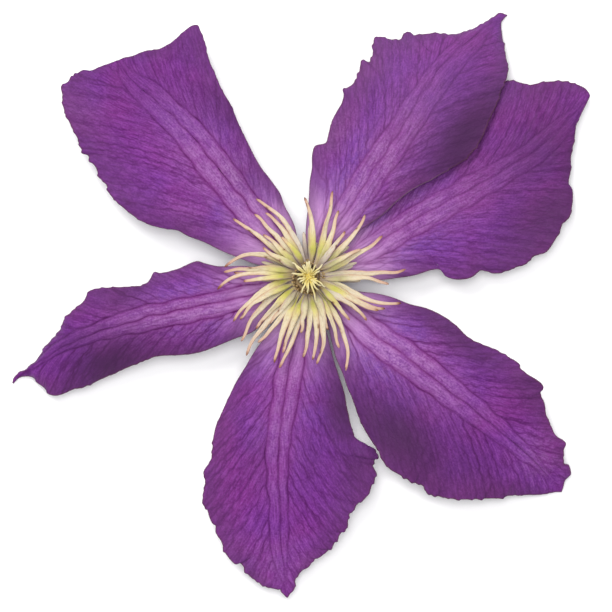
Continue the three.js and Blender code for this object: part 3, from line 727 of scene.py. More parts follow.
def side_vein_offset(spread, u, middle, edge):
    """How far from the mid-vein a side vein lies, along each row from middle to edge."""
    row = edge - middle
    half = np.maximum(np.linalg.norm(row, axis=1), 0.01)
    heading = np.gradient(middle, axis=0)
    slant = np.abs(cross_product(heading, row)) / (np.linalg.norm(heading, axis=1) * half)
    return np.clip(smooth_value(spread, u) / np.maximum(slant, 0.6), 0.02, 0.7 * half)


def lateral_angle(share):
    """How steeply the laterals cross the blade, in degrees, by their share of the way out."""
    return LATERAL_ANGLE + LATERAL_TURN * unit(share) ** 0.6


class HalfBlade:
    """One side of a blade. u is the share of its length and share that of the way outward, from
    the side vein to the margin. Small bays and lobes of the margin are smoothed away."""

    def __init__(self, side, u, middle, edge, spread):
        self.side = side
        self.u = u
        self.middle = middle
        self.edge = smoothed(edge, EDGE_SMOOTHING)
        self.half = np.linalg.norm(self.edge - middle, axis=1)
        self.side_vein = side_vein_offset(spread, u, middle, self.edge)
        self.length = lengths_along(middle)[-1]
        slope = np.gradient(smoothed(middle, EDGE_SMOOTHING), axis=0)
        self.heading = np.arctan2(slope[:, 1], slope[:, 0])

    def read(self, values, u):
        """Values that are given along the blade, read at u."""
        return np.interp(u, self.u, values)

    def points(self, u, share):
        """Plan points at each u, a share of the way from the side vein to the margin."""
        half = np.maximum(self.read(self.half, u), 0.05)
        start = self.read(self.side_vein, u)
        across = ((start + share * (half - start)) / half)[:, None]
        middle = np.stack([self.read(self.middle[:, k], u) for k in (0, 1)], 1)
        edge = np.stack([self.read(self.edge[:, k], u) for k in (0, 1)], 1)
        return middle + (edge - middle) * across

    def steps(self, u, share, bend):
        """How far u moves and how long the path grows for a unit of share, for veins that head
        outward at the laterals' angle plus bend; and the way to a neighbour, as seen across."""
        angle = np.radians(lateral_angle(share)) * (1 - 0.4 * rising(u, 0.7, 0.3))
        angle = angle * (0.6 + 0.4 * rising(u, 0, 0.35))
        heading = self.read(self.heading, u) + self.side * (angle + bend)
        toward = np.stack([np.cos(heading), np.sin(heading)], 1)
        tiny = 0.004
        along = (self.points(u + tiny, share) - self.points(u - tiny, share)) / (2 * tiny)
        outward = (self.points(u, share + tiny) - self.points(u, share)) / tiny
        lean = self.side * cross_product(along, toward)
        lean = np.maximum(lean, 0.14 * np.linalg.norm(along, axis=1))
        du = -self.side * cross_product(outward, toward) / lean
        path = np.linalg.norm(along * du[:, None] + outward, axis=1)
        return du, path, lean


def smoothed(line, reach):
    """A line of points averaged over reach points to each side; its ends stay where they are."""
    rows = np.arange(len(line))
    room = np.minimum(np.minimum(rows, rows[::-1]), reach)
    sums = np.vstack([np.zeros(2), np.cumsum(line, axis=0)])
    return (sums[rows + room + 1] - sums[rows - room]) / (2 * room + 1)[:, None]


class Laterals:
    """The lateral veins of a half blade, in order from claw to tip, as they all grow outward
    together. Each row of veins is u, strength, length since the vein forked off, and six numbers
    that set its bends."""

    def __init__(self, blade, rng):
        self.blade = blade
        self.rng = rng
        first, last = ROOTED_STRETCH
        u = first + np.cumsum(rng.uniform(*LATERAL_ROOTS, MOST_ROOTS)) / blade.length
        u = u[u < last]
        strength = rng.uniform(*LATERAL_STRENGTHS, len(u))
        self.veins = np.column_stack([u, strength, np.full(len(u), ROOTED_LENGTH),
                                      rng.uniform(0, 1, (len(u), 6))])

    def grow(self, share, step):
        """Moves each vein on as the share grows by step. Forks slide to the middle of their gap."""
        u, _, age = self.veins[:, :3].T
        pace = 0.18 + 0.5 * self.veins[:, 3:6]
        turns = np.sin(2 * math.pi * (pace * age[:, None] + self.veins[:, 6:9]))
        wiggle = WIGGLE * unit(0.3 + 2.5 * u)
        du, path, _ = self.blade.steps(u, share, wiggle * turns.sum(1))
        bounds = np.concatenate([[0.0], u, [1.0]])
        centre = (bounds[:-2] + bounds[2:]) / 2
        centre[-1:] = u[-1:]
        pull = 0.03 + 0.4 * np.exp(-age / 2.2)
        slide = np.clip((centre - u) * pull, -0.01, 0.01) * path
        self.veins[:, 0] += (du + slide) * step
        self.veins[:, 2] += path * step
        self.veins = self.veins[(self.veins[:, 0] > 0.005) & (self.veins[:, 0] < 0.985)]
        self.veins = self.veins[np.argsort(self.veins[:, 0])]

    def fork_and_merge(self, share):
        """Starts at most one fork and ends at most one vein, by the gaps between neighbours."""
        u, strength, age = self.veins[:, :3].T
        if len(u) < 2:
            return
        _, _, lean = self.blade.steps(u, share, 0)
        gaps = np.diff(u, prepend=0.0) * lean
        gaps[0] *= 0.6
        old = age > MERGE_LENGTH
        near = np.where((gaps[1:] < MERGE_GAP) & old[1:] & old[:-1])[0]
        if len(near):
            weaker = near[0] + int(strength[near[0] + 1] < strength[near[0]])
            self.veins = np.delete(self.veins, weaker, axis=0)
            return
        for k in np.where(gaps > self.rng.uniform(*FORK_GAP, len(gaps)))[0][:1]:
            parent = k - int(k > 0 and self.rng.uniform() < 0.5)
            if age[parent] > FORK_LENGTH:
                child = [u[parent], FORK_STRENGTH * strength[parent], 0.0, *self.rng.uniform(0, 1, 6)]
                self.veins = np.insert(self.veins, k, child, axis=0)


def lateral_veins(blades, seed):
    """Plan points of the lateral veins and how dark each is. They leave the side veins at a low
    angle, swing out to the margin, wander, fork into wide gaps and end in narrow ones."""
    rng = np.random.default_rng(seed)
    points = []
    strengths = []
    step = 1 / LATERAL_LEVELS
    for blade in blades:
        laterals = Laterals(blade, rng)
        for share in np.arange(0, 1.08, step):
            points.append(blade.points(laterals.veins[:, 0], share))
            strengths.append(laterals.veins[:, 1] * (1 - 0.3 * share))
            laterals.grow(share, step)
            laterals.fork_and_merge(share)
    return np.concatenate(points), np.concatenate(strengths)


def lateral_darkness(plan, points, strengths):
    """How dark each plan point is for the lateral veins that pass near it."""
    tree = kdtree.KDTree(len(points))
    for i, (s, t) in enumerate(points):
        tree.insert((s, t, 0.0), i)
    tree.balance()
    dark = np.zeros(len(plan))
    for i, (s, t) in enumerate(plan):
        for _, k, distance in tree.find_n((s, t, 0.0), 2):
            dark[i] = max(dark[i], strengths[k] * math.exp(-((distance / LATERAL_WIDTH) ** 2)))
    return dark


# ---- Tepal blades ----


class BladePlan:
    """The grid of points that a blade is made on: rows from claw to tip, columns from the right
    margin to the left. s is the distance out along the azimuth and t that across it. u is the
    share of the length, side is -1 on the right half and 1 on the left, across is the share of
    the way from the mid-vein to the margin, and share that from the side vein to the margin."""

    def __init__(self, tepal):
        u = np.linspace(0, 1, BLADE_ROWS + 1)
        u[-1] = 1 - TIP_CELL / BLADE_ROWS
        lines = [spline_points([claw_point(tepal, side), *tepal[name], tepal["tip"]])
                 for name, side in (("left", 1), ("vein", 0), ("right", -1))]
        lines[0] = toothed(lines[0], 1, tepal["teeth"][0], tepal["seed"] + 100)
        lines[2] = toothed(lines[2], -1, tepal["teeth"][1], tepal["seed"] + 200)
        left, middle, right = (even_points(line, u) for line in lines)
        self.halves = [HalfBlade(side, u, middle, edge, spread)
                       for side, edge, spread in zip((1, -1), (left, right), tepal["spread"])]
        self.u = u[:, None]
        self.fade = end_fade(self.u)

        f = np.linspace(0, 1, HALF_COLUMNS + 1)
        self.across = np.concatenate([f[::-1], f[1:]])[None, :]
        self.side = np.concatenate([-np.ones(HALF_COLUMNS + 1), np.ones(HALF_COLUMNS)])[None, :]
        edges = np.where(self.side[..., None] < 0, right[:, None], left[:, None])
        across = self.across[..., None]
        self.points = middle[:, None] * (1 - across) + edges * across
        self.s = self.points[..., 0]
        self.t = self.points[..., 1]

        half = np.linalg.norm(edges - middle[:, None], axis=2)
        offsets = [side_vein_offset(spread, u, middle, edge)[:, None]
                   for spread, edge in zip(tepal["spread"], (left, right))]
        self.side_vein = np.where(self.side > 0, *offsets)
        self.from_mid = self.across * half
        self.from_rim = half - self.from_mid
        self.beyond = np.maximum(half - self.side_vein, 0.05)
        self.share = rising(self.from_mid, self.side_vein, self.beyond)


def tepal_piece(tepal, material):
    """One tepal. Its vertex attributes are the names that the material reads."""
    plan = BladePlan(tepal)
    mains, flush = main_veins(tepal, plan)
    laterals = lateral_marks(tepal, plan)
    minor = minor_veins(tepal, plan)
    net = net_places(tepal, plan)
    heights = blade_heights(tepal, plan, mains, laterals, minor, net)
    surface = np.concatenate([plan.points, heights[..., None]], -1)
    colours = tepal_colours(tepal, plan)
    dark = [tepal["mains"] * mains, tepal["laterals"] * laterals, minor]
    colours["vein"] = np.maximum.reduce(dark)
    colours["flush"] = flush
    colours.update(net)
    return blade_piece(tepal, surface, plan.from_rim, colours, material)


def main_veins(tepal, plan):
    """How strong the mid-vein and side veins are at each point, and the redder skin along them."""
    u, side, seed = plan.u, plan.side, tepal["seed"]
    mid_bend = MAIN_VEIN_BEND * wander(u * 13, seed + 11)
    side_bend = MAIN_VEIN_BEND * wander(u * 13 + 5 * side, seed + 12)
    to_side_vein = np.abs(plan.from_mid - plan.side_vein - side_bend)
    to_vein = np.minimum(np.abs(side * plan.from_mid - mid_bend), to_side_vein)
    mains = bell(to_vein, MAIN_VEIN_WIDTH) * unit(u * 8)
    mains *= 0.45 + 0.55 * falling(u, 1, 0.35)
    mains *= 0.85 + 0.25 * wander(u * 9 + 2 * side, seed + 13)
    flush = tepal["mains"] * (bell(to_vein, FLUSH_WIDTH) * falling(plan.s, 42, 20))
    return mains, flush


def lateral_marks(tepal, plan):
    """How strong the lateral veins are at each point. There are none between the side veins."""
    points, strengths = lateral_veins(plan.halves, tepal["seed"])
    dark = lateral_darkness(plan.points.reshape(-1, 2), points, strengths)
    return dark.reshape(plan.s.shape) * rising(plan.from_mid, plan.side_vein * 0.9, 0.3)


def minor_veins(tepal, plan):
    """Thin veins that run beside the main ones over the inner half of the blade."""
    u, side, seed = plan.u, plan.side, tepal["seed"]
    lines = np.zeros(plan.s.shape)
    for number, place in enumerate(MINOR_PLACES):
        bend = MINOR_BEND * wander(u * 15 + 4 * side, seed + 20 + number)
        faint = 0.7 + 0.5 * wander(u * 8 + 3 * side, seed + 30 + number)
        line = bell(plan.from_mid - place * plan.side_vein - bend, MINOR_WIDTH)
        lines = np.maximum(lines, line * faint)
    return tepal["minor"] * lines * falling(plan.s, 48, 16)


def blade_heights(tepal, plan, mains, laterals, minor, net):
    """The height of each point: the arch, the waves and frills of the margins, the raised bands
    between the main veins, the furrows along all veins, and the puckers."""
    u, side, across, fade, seed = plan.u, plan.side, plan.across, plan.fade, tepal["seed"]
    band = np.where(plan.from_mid < plan.side_vein,
                    np.sin(math.pi * plan.from_mid / plan.side_vein) ** 2, 0)
    falls = np.where(side < 0, smooth_value(tepal["right_fall"], u),
                     smooth_value(tepal["left_fall"], u))
    waves = np.sin(2 * math.pi * (tepal["waves"] * u + tepal["wave_phase"]))
    folds = wander(net["net_x"] / 3, seed + 8)
    swells = wander(net["net_y"] / 4 + net["net_x"] / 9, seed + 9)
    z = smooth_value(tepal["heights"], u) - falls * across**2
    z = z - side * tepal["wave"] * fade * waves * across**3
    z = z + FRILL * fade * wander(u * 16 + side * 3, seed + 7) * across**6
    z = z + fade * (BAND_HEIGHT * band - MAIN_VEIN_DEPTH * mains) - LATERAL_DEPTH * laterals
    z = z - LATERAL_DEPTH * fade * minor
    return z + PUCKER * fade * unit(plan.share * 4) * folds * (1 + swells)


def tepal_colours(tepal, plan):
    """How strongly each part of the colouring shows, point by point. s is counted from the middle
    of the flower, so what is falling(s, 44, 24) ends 44 mm out, over 24 mm."""
    s, t, share, from_mid, side_vein = plan.s, plan.t, plan.share, plan.from_mid, plan.side_vein
    right = t < np.median(t)
    halo = falling(s, 44, 24) * bell(from_mid, 1.9 * side_vein)
    band = falling(from_mid, side_vein * 1.2, 1.4) * falling(s, 54, 36)
    drift = 1 + 0.25 * wander(s / 7 + (t > np.median(t)), tepal["seed"] + 10)
    pale = tepal["bands"] * (0.66 * halo + 0.22 * band) * drift
    # The stretch of the right margin that carries a painted highlight, where the rim catches the light.
    start, end = tepal.get("painted_highlight_edge", (0, 0))
    painted_highlight_stretch = rising(s, start, 5) * falling(s, end, 5) * right
    return {
        # pale also carries the light patches: painted light, paler where the blade is lit or where a
        # neighbour's shadow is lifted.
        "pale": np.maximum(pale, pale * 0.6 + patches(tepal["light"], s, t)),
        # The paler base: partly the tepal's own colour, partly painted light against the shade the
        # stamens cast on it.
        "root": tepal["glow"] * np.clip((20 - s) / 9, 0, 1.2) ** 1.2 * (1 - 0.35 * share),
        "blue": falling(s, 34, 12) * unit(1.3 - 1.8 * share) * (share > 0),
        "outer": np.clip((from_mid - side_vein) / 0.6, 0.25, 1) * rising(s, 12, 10),
        "dull": 0.45 * rising(share, 0.4, 0.5),
        "bloom": tepal.get("bloom", 0) * rising(s, 18, 18),
        # The claw: painted light under the stamens, lifting the shade they cast on the blade's base.
        "claw": falling(s, 14.5, 6),
        # Painted shade: darker patches where the blade turns away from the light or lies in a
        # neighbour's shadow.
        "painted_shade": patches(tepal["painted_shade"], s, t),
        "rim": 0.7 * unit(1 - plan.from_rim / RIM_WIDTH),
        # Painted highlight: a thin line of light along that stretch of the right margin.
        "painted_rim_highlight": 0.8 * painted_highlight_stretch * unit(1.2 - plan.from_rim / 0.2),
    }


def patches(rows, s, t):
    """The strongest of some soft patches, each (out, across, length, width, strength)."""
    total = np.zeros(s.shape)
    for at_s, at_t, length, width, strength in rows:
        patch = np.exp(-(((s - at_s) / length) ** 2) - ((t - at_t) / width) ** 2)
        total = np.maximum(total, strength * patch)
    return total


def net_places(tepal, plan):
    """Coordinates in which the fine net of veins has cells a unit across. Beyond the side veins
    one of them is constant along the laterals; between them it is constant along the blade. What
    is added to them keeps the sides, the middle and the tepals from sharing cells."""
    steps = np.linspace(0, 1, 200)
    slant = np.cumsum(1 / np.tan(np.radians(lateral_angle(steps[1:]))))
    slant = np.concatenate([[0], slant]) / len(slant)
    root = plan.s - plan.beyond * np.interp(plan.share, steps, slant)
    outside = plan.from_mid > plan.side_vein
    net_x = np.where(outside, root / NET_CELL[0], plan.from_mid / INNER_NET_CELL[0] + 20)
    out = 1.7 * plan.share * plan.beyond / NET_CELL[1]
    return {
        "net_x": net_x + 40 * plan.side + tepal["seed"],
        "net_y": np.where(outside, out, plan.s / INNER_NET_CELL[1]),
    }


def blade_piece(tepal, surface, from_rim, colours, material):
    """Thickens a grid of points into a closed blade, and turns it to the tepal's azimuth."""
    rows, columns, _ = surface.shape
    normal = np.cross(np.gradient(surface, axis=0), np.gradient(surface, axis=1))
    normal /= np.maximum(np.linalg.norm(normal, axis=2, keepdims=True), 1e-9)
    gain = BLADE_THICKNESS - MARGIN_THICKNESS
    thickness = MARGIN_THICKNESS + gain * rising(from_rim, 0, THIN_WIDTH)
    offset = normal * (thickness / 2)[..., None]
    points = np.concatenate([(surface + offset).reshape(-1, 3), (surface - offset).reshape(-1, 3)])
    azimuth = math.radians(tepal["azimuth"])
    vertices = np.stack([
        points[:, 0] * math.cos(azimuth) - points[:, 1] * math.sin(azimuth),
        points[:, 0] * math.sin(azimuth) + points[:, 1] * math.cos(azimuth),
        np.maximum(points[:, 2], 0),
    ], 1)
    attributes = {key: np.tile(np.ravel(values), 2) for key, values in colours.items()}
    count = rows * columns
    attributes["under"] = np.repeat([0.0, 1.0], count)

    first_row = np.arange(columns)
    first_column = np.arange(rows) * columns
    last_column = first_column + columns - 1
    last_row = first_row + (rows - 1) * columns
    loop = np.concatenate([first_row[::-1], first_column[1:], last_row[1:], last_column[::-1][1:]])
    a, b = loop[:-1], loop[1:]
    faces = np.concatenate([
        grid_faces(rows, columns),
        grid_faces(rows, columns, count)[:, ::-1],
        np.stack([a, a + count, b + count, b], 1),
    ])
    return add_mesh("fine_" + tepal["name"], vertices, faces.tolist(), attributes, material)


# ---- Stamens and pistils ----


def tube(centres, widths, thicknesses, sides, channel=0.0, roll=0.0):
    """A closed tube along centre points with an oval section, its flat side up but for the roll
    in radians, and a channel along its top. Returns vertices, faces, and for each vertex its
    place along from 0 to 1 and its place across from -1 to 1."""
    along = np.gradient(centres, axis=0)
    across = np.stack([-along[:, 1], along[:, 0], np.zeros(len(along))], 1)
    across /= np.linalg.norm(across, axis=1, keepdims=True)
    up = np.cross(along, across)
    up /= np.linalg.norm(up, axis=1, keepdims=True)
    roll = np.broadcast_to(roll, len(centres))[:, None]
    across, up = (across * np.cos(roll) + up * np.sin(roll),
                  up * np.cos(roll) - across * np.sin(roll))
    turn = np.linspace(0, 2 * math.pi, sides, endpoint=False)
    x = np.cos(turn)
    y = np.sin(turn) * (1 - channel * bell(x, 0.4) * (np.sin(turn) > 0))
    vertices = (
        centres[:, None]
        + across[:, None] * (widths[:, None] / 2 * x)[..., None]
        + up[:, None] * (thicknesses[:, None] / 2 * y)[..., None]
    )
    steps = len(centres)
    ring = np.arange(sides)
    onward = (ring + 1) % sides
    first = np.full(sides, steps * sides)
    last_ring = (steps - 1) * sides
    faces = [
        *grid_faces(steps, sides, 0, wrap=True)[:, ::-1].tolist(),
        *np.stack([first, ring, onward], 1).tolist(),
        *np.stack([first + 1, last_ring + onward, last_ring + ring], 1).tolist(),
    ]
    return (
        np.concatenate([vertices.reshape(-1, 3), centres[:1], centres[-1:]]),
        faces,
        np.append(np.repeat(np.linspace(0, 1, steps), sides), [0, 1]),
        np.append(np.tile(x, steps), [0, 0]),
    )


def turned_body(profile, sides, ribs=0, rib_height=0.0):
    """A body of revolution about Z through (radius, height) points from the bottom up."""
    radius, height = np.array(profile, float).T
    turn = np.linspace(0, 2 * math.pi, sides, endpoint=False)
    swell = 1 + rib_height * np.cos(ribs * turn)
    x = radius[:, None] * np.cos(turn) * swell
    y = radius[:, None] * np.sin(turn) * swell
    z = np.repeat(height[:, None], sides, 1)
    vertices = np.stack([x, y, z], -1).reshape(-1, 3)
    return vertices, grid_faces(len(profile), sides, 0, wrap=True)[:, ::-1].tolist()


class Bundle:
    """Collects bodies into one mesh. An attribute that a body doesn't give is 0 on it."""

    def __init__(self, names):
        self.vertices = []
        self.faces = []
        self.attributes = {name: [] for name in names}
        self.count = 0

    def add(self, vertices, faces, **attributes):
        self.vertices.append(vertices)
        self.faces += [[i + self.count for i in face] for face in faces]
        for name, values in self.attributes.items():
            values.append(np.broadcast_to(attributes.get(name, 0.0), len(vertices)))
        self.count += len(vertices)

    def add_round(self, centres, widths, sides, start, gain, **attributes):
        """Adds a round tube whose attribute along is start at its root and grows by gain."""
        vertices, faces, along, _ = tube(centres, widths, widths, sides)
        self.add(vertices, faces, along=start + gain * along, **attributes)

    def piece(self, name, material):
        joined = {key: np.concatenate(values) for key, values in self.attributes.items()}
        return add_mesh(name, np.concatenate(self.vertices), self.faces, joined, material)


def seeded_draws(seed):
    """The same repeatable stream of numbers between 0 and 1 that sets out the solids."""
    state = seed
    while True:
        state = (state * DRAW_FACTOR) % DRAW_MODULUS
        yield state / DRAW_MODULUS


def rounded_end(f, share):
    """Narrows a tube to a blunt end over the last share of its length."""
    return 0.35 + 0.65 * np.sqrt(falling(f, 1, share))


def polar_points(radius, azimuth, height):
    """Points from radii, azimuths in radians and heights."""
    return np.stack([radius * np.cos(azimuth), radius * np.sin(azimuth), height], 1)


def stamen_line(row, draw, rng):
    """A stamen's centre points, widths, thicknesses and rolls from root to tip."""
    reach, third, two_thirds, end = row
    lift = SHORTNESS_LIFT * (MIDDLING_REACH - reach) + 0.7 * (next(draw) - 0.5)
    broad = STAMEN_WIDTH * (0.85 + 0.3 * next(draw))
    opening = max(0.0, math.cos(math.radians(third - WELL_OPENS_TOWARD)))
    heights = [COLLAR_BOTTOM + 1.6 - 1.1 * opening, STAMEN_CREST - 0.3 + lift, STAMEN_CREST + lift,
               STAMEN_CREST - 0.2 + lift, STAMEN_CREST - 0.5 + 0.8 * lift]
    widths = [0.5, 0.92 * broad, 0.74 * broad, 0.68, STAMEN_TIP_WIDTH]
    f = np.linspace(0, 1, STAMEN_STEPS)
    root_share = (STAMEN_ROOT_RADIUS - 0.6 + 1.2 * opening) / reach
    share = root_share + (1 - root_share) * f
    h = 3 * share - 1
    azimuth = third + (two_thirds - third) * h + (end - 2 * two_thirds + third) * h * (h - 1) / 2
    azimuth = azimuth + f * drawn_wander(f * 3, rng)
    centres = polar_points(reach * share, np.radians(azimuth), smooth_value(heights, f))
    centres[:, 2] += 0.14 * f * drawn_wander(f * 3, rng)
    width = smooth_value(widths, f) * (1 + 0.08 * drawn_wander(f * 10, rng))
    close = rounded_end(f, 0.03)
    roll = STAMEN_ROLL * np.sin(math.pi * f) * drawn_wander(f * 1.5, rng)
    return centres, width * close, STAMEN_THICKNESS * (1 - 0.25 * f) * close, roll


def stamens_piece(material):
    """The stamens on their collar. Of the attributes, out is the distance from the root radius,
    along the place on the stamen, side the warm edges, which near the roots also carry painted
    shade, tone how grey it is and speck where it is brown. grain_x and grain_y place its fine
    streaks. low marks the low stamens, painted in a shaded lavender grey, and well the parts in
    the well."""
    bundle = Bundle(("out", "along", "side", "tone", "speck", "grain_x", "grain_y", "low", "well"))
    draw = seeded_draws(STAMEN_SEED)
    rng = np.random.default_rng(FINE_STAMEN_SEED)
    for number, row in enumerate(STAMENS):
        centres, width, thickness, roll = stamen_line(row, draw, rng)
        vertices, faces, along, across = tube(
            centres, width, thickness, STAMEN_SIDES, STAMEN_CHANNEL, roll)
        spot = rng.uniform(0.45, 0.95)
        turned = rng.choice((-1, 1))
        edge = unit(0.55 + 0.45 * turned * across) * np.abs(across) ** 1.3
        speck = bell(along - spot, 0.03) * unit(2 * turned * across) * (rng.uniform() < 0.6)
        tip_speck = bell(along - 1.0, 0.04) * rng.uniform(0, 1.2)
        radius = np.hypot(vertices[:, 0], vertices[:, 1])
        bundle.add(
            vertices, faces, along=along, side=edge, tone=rng.uniform() ** 1.5,
            out=(radius - STAMEN_ROOT_RADIUS) / STAMEN_COLOUR_RUN, speck=np.maximum(speck, tip_speck),
            grain_x=4 * number + 2.2 * across, grain_y=1.1 * row[0] * along,
        )
    add_low_stamens(bundle, rng)
    add_inner_filaments(bundle, rng)
    vertices, faces = turned_body([
        (1.95, COLLAR_BOTTOM), (3.35, COLLAR_BOTTOM), (3.4, COLLAR_BOTTOM + 0.3),
        (3.2, COLLAR_TOP - 0.5), (2.6, COLLAR_TOP - 0.4), (2.0, COLLAR_TOP - 0.3),
        (1.95, COLLAR_BOTTOM),
    ], sides=64, ribs=21, rib_height=0.02)
    bundle.add(vertices, faces, well=0.7, along=0.35)
    return bundle.piece("fine_stamens", material)


def add_low_stamens(bundle, rng):
    """Pale filaments that lie under the others and close the gaps between their roots. Their lavender
    grey is painted shade.
    """
    f = np.linspace(0, 1, 12)
    for k in range(LOW_STAMENS):
        direction = 2 * math.pi * (k + rng.uniform(-0.3, 0.3)) / LOW_STAMENS
        reach = rng.uniform(*LOW_REACH)
        radius = STAMEN_ROOT_RADIUS + 0.3 + (reach - STAMEN_ROOT_RADIUS) * f
        height = COLLAR_BOTTOM + 0.3 + rng.uniform(0.3, 0.8) * np.sin(2.2 * f)
        azimuth = direction + 0.07 * f * rng.uniform(-1, 1)
        width = rng.uniform(0.7, 1.0) * (1 - 0.45 * f**2) * rounded_end(f, 0.1)
        vertices, faces, along, across = tube(
            polar_points(radius, azimuth, height), width, 0.4 * width, sides=10, channel=0.4)
        # low: how strongly the material paints them in shaded lavender grey, most at the root.
        bundle.add(
            vertices, faces, along=0.5 * along, side=0.5 * across**4, tone=rng.uniform(0.4, 1.0),
            out=(radius.max() - STAMEN_ROOT_RADIUS) / STAMEN_COLOUR_RUN * along,
            low=0.75 * (1 - along**2), grain_x=300 + 4 * k + 2 * across, grain_y=8 * along,
        )


def add_inner_filaments(bundle, rng):
    """Short thin filaments that line the well between the stamens and the pistils."""
    f = np.linspace(0, 1, 8)
    for k in range(INNER_FILAMENTS):
        direction = 2 * math.pi * (k + rng.uniform(-0.4, 0.4)) / INNER_FILAMENTS
        opening = max(0.0, math.cos(direction - math.radians(WELL_OPENS_TOWARD)))
        radius = rng.uniform(*WELL_RADIUS) + 0.4 * opening + f * rng.uniform(-0.1, 0.6)
        height = COLLAR_TOP - 0.4 + rng.uniform(0.9, 2.0) * np.sin(1.9 * f)
        sway = direction + 0.16 * f * rng.uniform(-1, 1)
        width = 0.3 * (1.1 - 0.4 * f) * rounded_end(f, 0.15)
        centres = polar_points(radius, sway, height)
        bundle.add_round(centres, width, sides=7, start=0.0, gain=rng.uniform(0.5, 1.0), well=1.0)


def pistils_piece(material):
    bundle = Bundle(("along",))
    draw = seeded_draws(PISTIL_SEED)
    rng = np.random.default_rng(FINE_PISTIL_SEED)
    f = np.linspace(0, 1, 18)
    for reach, direction in STYLES:
        droop = 0.5 * next(draw)
        radius = STYLE_ROOT_RADIUS + (reach - STYLE_ROOT_RADIUS) * f
        height = STYLE_ROOT_HEIGHT + (STYLE_CREST - STYLE_ROOT_HEIGHT) * np.sin(2.2 * f)
        azimuth = np.radians(direction + 6 * f * drawn_wander(f * 2, rng))
        width = STYLE_THICKNESS * (1.15 - 0.35 * f) * rounded_end(f, 0.06)
        centres = polar_points(radius, azimuth, height - droop * f * f)
        bundle.add_round(centres, width, sides=8, start=0.45, gain=0.55)
    add_short_styles(bundle, rng)
    add_column_hairs(bundle, rng)
    profile = [(0.02, COLLAR_BOTTOM), (1.45, COLLAR_BOTTOM), (1.35, 9.0), (COLUMN_RADIUS, 10.2),
               (1.0, 11.0), (0.75, 11.6), (0.5, 11.9), (0.25, 12.0), (0.02, 12.05)]
    vertices, faces = turned_body(profile, sides=48, ribs=9, rib_height=0.05)
    bundle.add(vertices, faces, along=rising(vertices[:, 2], 9.5, 6))
    return bundle.piece("fine_pistils", material)


def add_short_styles(bundle, rng):
    """Short styles that crowd the top of the column, the inner ones upright."""
    f = np.linspace(0, 1, 9)
    for k in range(SHORT_STYLES):
        root = 0.13 * math.sqrt(k)
        lean = rng.uniform(0.1, 0.3) + 0.045 * k * rng.uniform(0.5, 1.0)
        rise = rng.uniform(0.7, 1.2)
        height = STYLE_ROOT_HEIGHT + rise * np.sin((1.5 + 0.02 * k) * f)
        width = 0.27 * (1.1 - 0.3 * f) * rounded_end(f, 0.2)
        centres = polar_points(root + lean * f, GOLDEN_TURN * k + 0.2 * f, height)
        bundle.add_round(centres, width, sides=7, start=0.3, gain=0.4)
    for k in range(LEANING_STYLES):
        azimuth = math.radians(82 + 5 * k) + 0.1 * f * rng.uniform(-1, 1)
        width = 0.36 * (1.1 - 0.4 * f) * rounded_end(f, 0.15)
        centres = polar_points(0.3 + rng.uniform(1.6, 2.9) * f, azimuth, 11.4 + 0.8 * np.sin(2 * f))
        bundle.add_round(centres, width, sides=7, start=0.6, gain=0.4)


def add_column_hairs(bundle, rng):
    """Brown hairs that stand out from the column into the well."""
    f = np.linspace(0, 1, 7)
    for k in range(COLUMN_HAIRS):
        radius = COLUMN_RADIUS + rng.uniform(*HAIR_REACH) * f
        height = rng.uniform(*HAIR_HEIGHTS) + 0.5 * np.sin(2.6 * f)
        width = 0.16 * (1.1 - 0.5 * f) * rounded_end(f, 0.2)
        azimuth = GOLDEN_TURN * k + 0.2 * f * rng.uniform(-1, 1)
        centres = polar_points(radius, azimuth, height)
        bundle.add_round(centres, width, sides=6, start=0.05, gain=0.25)


# ---- Receptacle ----


def receptacle_piece(material):
    profile = [(0.02, 0.0), (STALK_RADIUS - 0.05, 0.0), (STALK_RADIUS, 0.05), (STALK_RADIUS, 1.0),
               (STALK_RADIUS, 2.0), (1.45, 2.45), (1.9, 2.9), (2.5, 3.5), (3.0, 4.0),
               (3.35, 4.5), (3.48, 5.0), (3.48, 5.8), (3.45, 6.5), (3.1, 7.0),
               (2.4, RECEPTACLE_TOP), (0.02, RECEPTACLE_TOP)]
    vertices, faces = turned_body(profile, sides=72)
    height = vertices[:, 2]
    bundle = Bundle(("cut", "top"))
    bundle.add(vertices, faces, cut=(height < 0.01).astype(float), top=rising(height, 6.9, 0.2))
    return bundle.piece("fine_receptacle", material)


# ---- Floor, light and camera ----

PHOTO_SIZE = 612
MM_PER_PIXEL = 0.18
FLOWER_PIXEL = (308.7, 276.8)  # where the flower's middle is in the photograph
CAMERA_HEIGHT = 1500.0
SHARP_HEIGHT = 1.0  # height at which MM_PER_PIXEL holds: by the drooping tips
SENSOR = 36.0
VIEW_END = 100.0  # metres
FLOOR_HALF = 6.0  # metres
FLOOR_DROP = 0.1  # below the flower's lowest points


def add_camera():
    data = bpy.data.cameras.new("camera")
    data.sensor_width = SENSOR
    data.lens = SENSOR * (CAMERA_HEIGHT - SHARP_HEIGHT) / (PHOTO_SIZE * MM_PER_PIXEL)
    data.clip_end = VIEW_END
    camera = add_object("camera", data)
    x = (PHOTO_SIZE / 2 - FLOWER_PIXEL[0]) * MM_PER_PIXEL
    y = (FLOWER_PIXEL[1] - PHOTO_SIZE / 2) * MM_PER_PIXEL
    camera.location = (x * MM, y * MM, CAMERA_HEIGHT * MM)
    bpy.context.scene.camera = camera


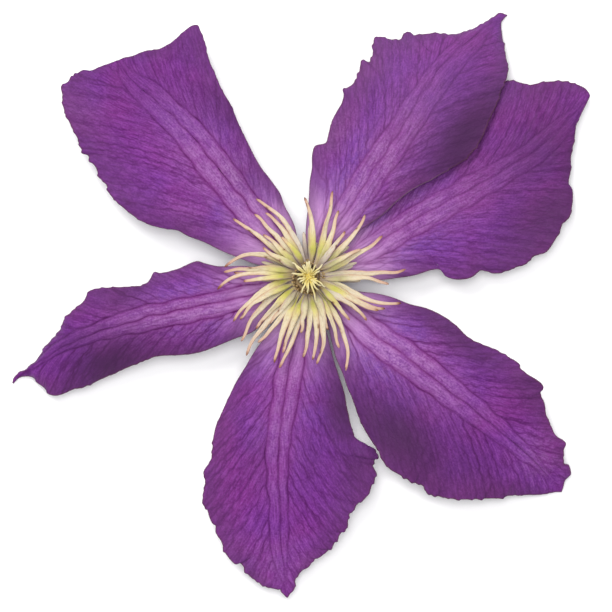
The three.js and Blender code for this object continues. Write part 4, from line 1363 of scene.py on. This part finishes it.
def add_floor():
    corners = [(x * FLOOR_HALF, y * FLOOR_HALF, 0) for x, y in ((-1, -1), (1, -1), (1, 1), (-1, 1))]
    mesh = bpy.data.meshes.new("floor")
    mesh.from_pydata(corners, [], [(0, 1, 2, 3)])
    mesh.materials.append(floor_material())
    floor = add_object("floor", mesh)
    floor.location.z = -FLOOR_DROP * MM


def add_light(name, azimuth, elevation, distance, size, level, color):
    """A round soft light that aims at the flower and shows a level white surface at level. Its
    distance and size are in metres, its angles in degrees."""
    azimuth = math.radians(azimuth)
    elevation = math.radians(elevation)
    data = bpy.data.lights.new(name, "AREA")
    data.shape = "DISK"
    data.size = size
    data.energy = level * (math.pi * distance) ** 2 / math.sin(elevation)
    data.color = color
    light = add_object(name, data)
    light.location = (
        distance * math.cos(elevation) * math.cos(azimuth),
        distance * math.cos(elevation) * math.sin(azimuth),
        distance * math.sin(elevation),
    )
    light.rotation_mode = "QUATERNION"
    light.rotation_quaternion = (-light.location).to_track_quat("-Z", "Y")


def add_lights():
    add_light("key", azimuth=118, elevation=48, distance=1.4, size=0.8, level=KEY_LEVEL,
              color=(1.0, 0.99, 0.97))
    add_light("top", azimuth=90, elevation=85, distance=2.7, size=1.5, level=TOP_LEVEL,
              color=(0.99, 0.99, 1.0))
    world = bpy.data.worlds.new("studio")
    world.use_nodes = True
    background = world.node_tree.nodes["Background"]
    background.inputs["Color"].default_value = (1.0, 1.0, 1.0, 1.0)
    background.inputs["Strength"].default_value = SKY_LEVEL
    bpy.context.scene.world = world
    bpy.context.scene.view_settings.view_transform = "Standard"


# ---- The flower ----


def fit(piece, node):
    """The piece stands for a solid: it joins the root body and the solid is hidden."""
    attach(piece, "root")
    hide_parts(node)


add_camera()
add_floor()
add_lights()
tepal_skin = tepal_material()
for tepal in TEPALS:
    fit(tepal_piece(tepal, tepal_skin), tepal["name"])
fit(stamens_piece(stamen_material()), "stamens")
fit(pistils_piece(pistil_material()), "pistils")
fit(receptacle_piece(receptacle_material()), "receptacle")
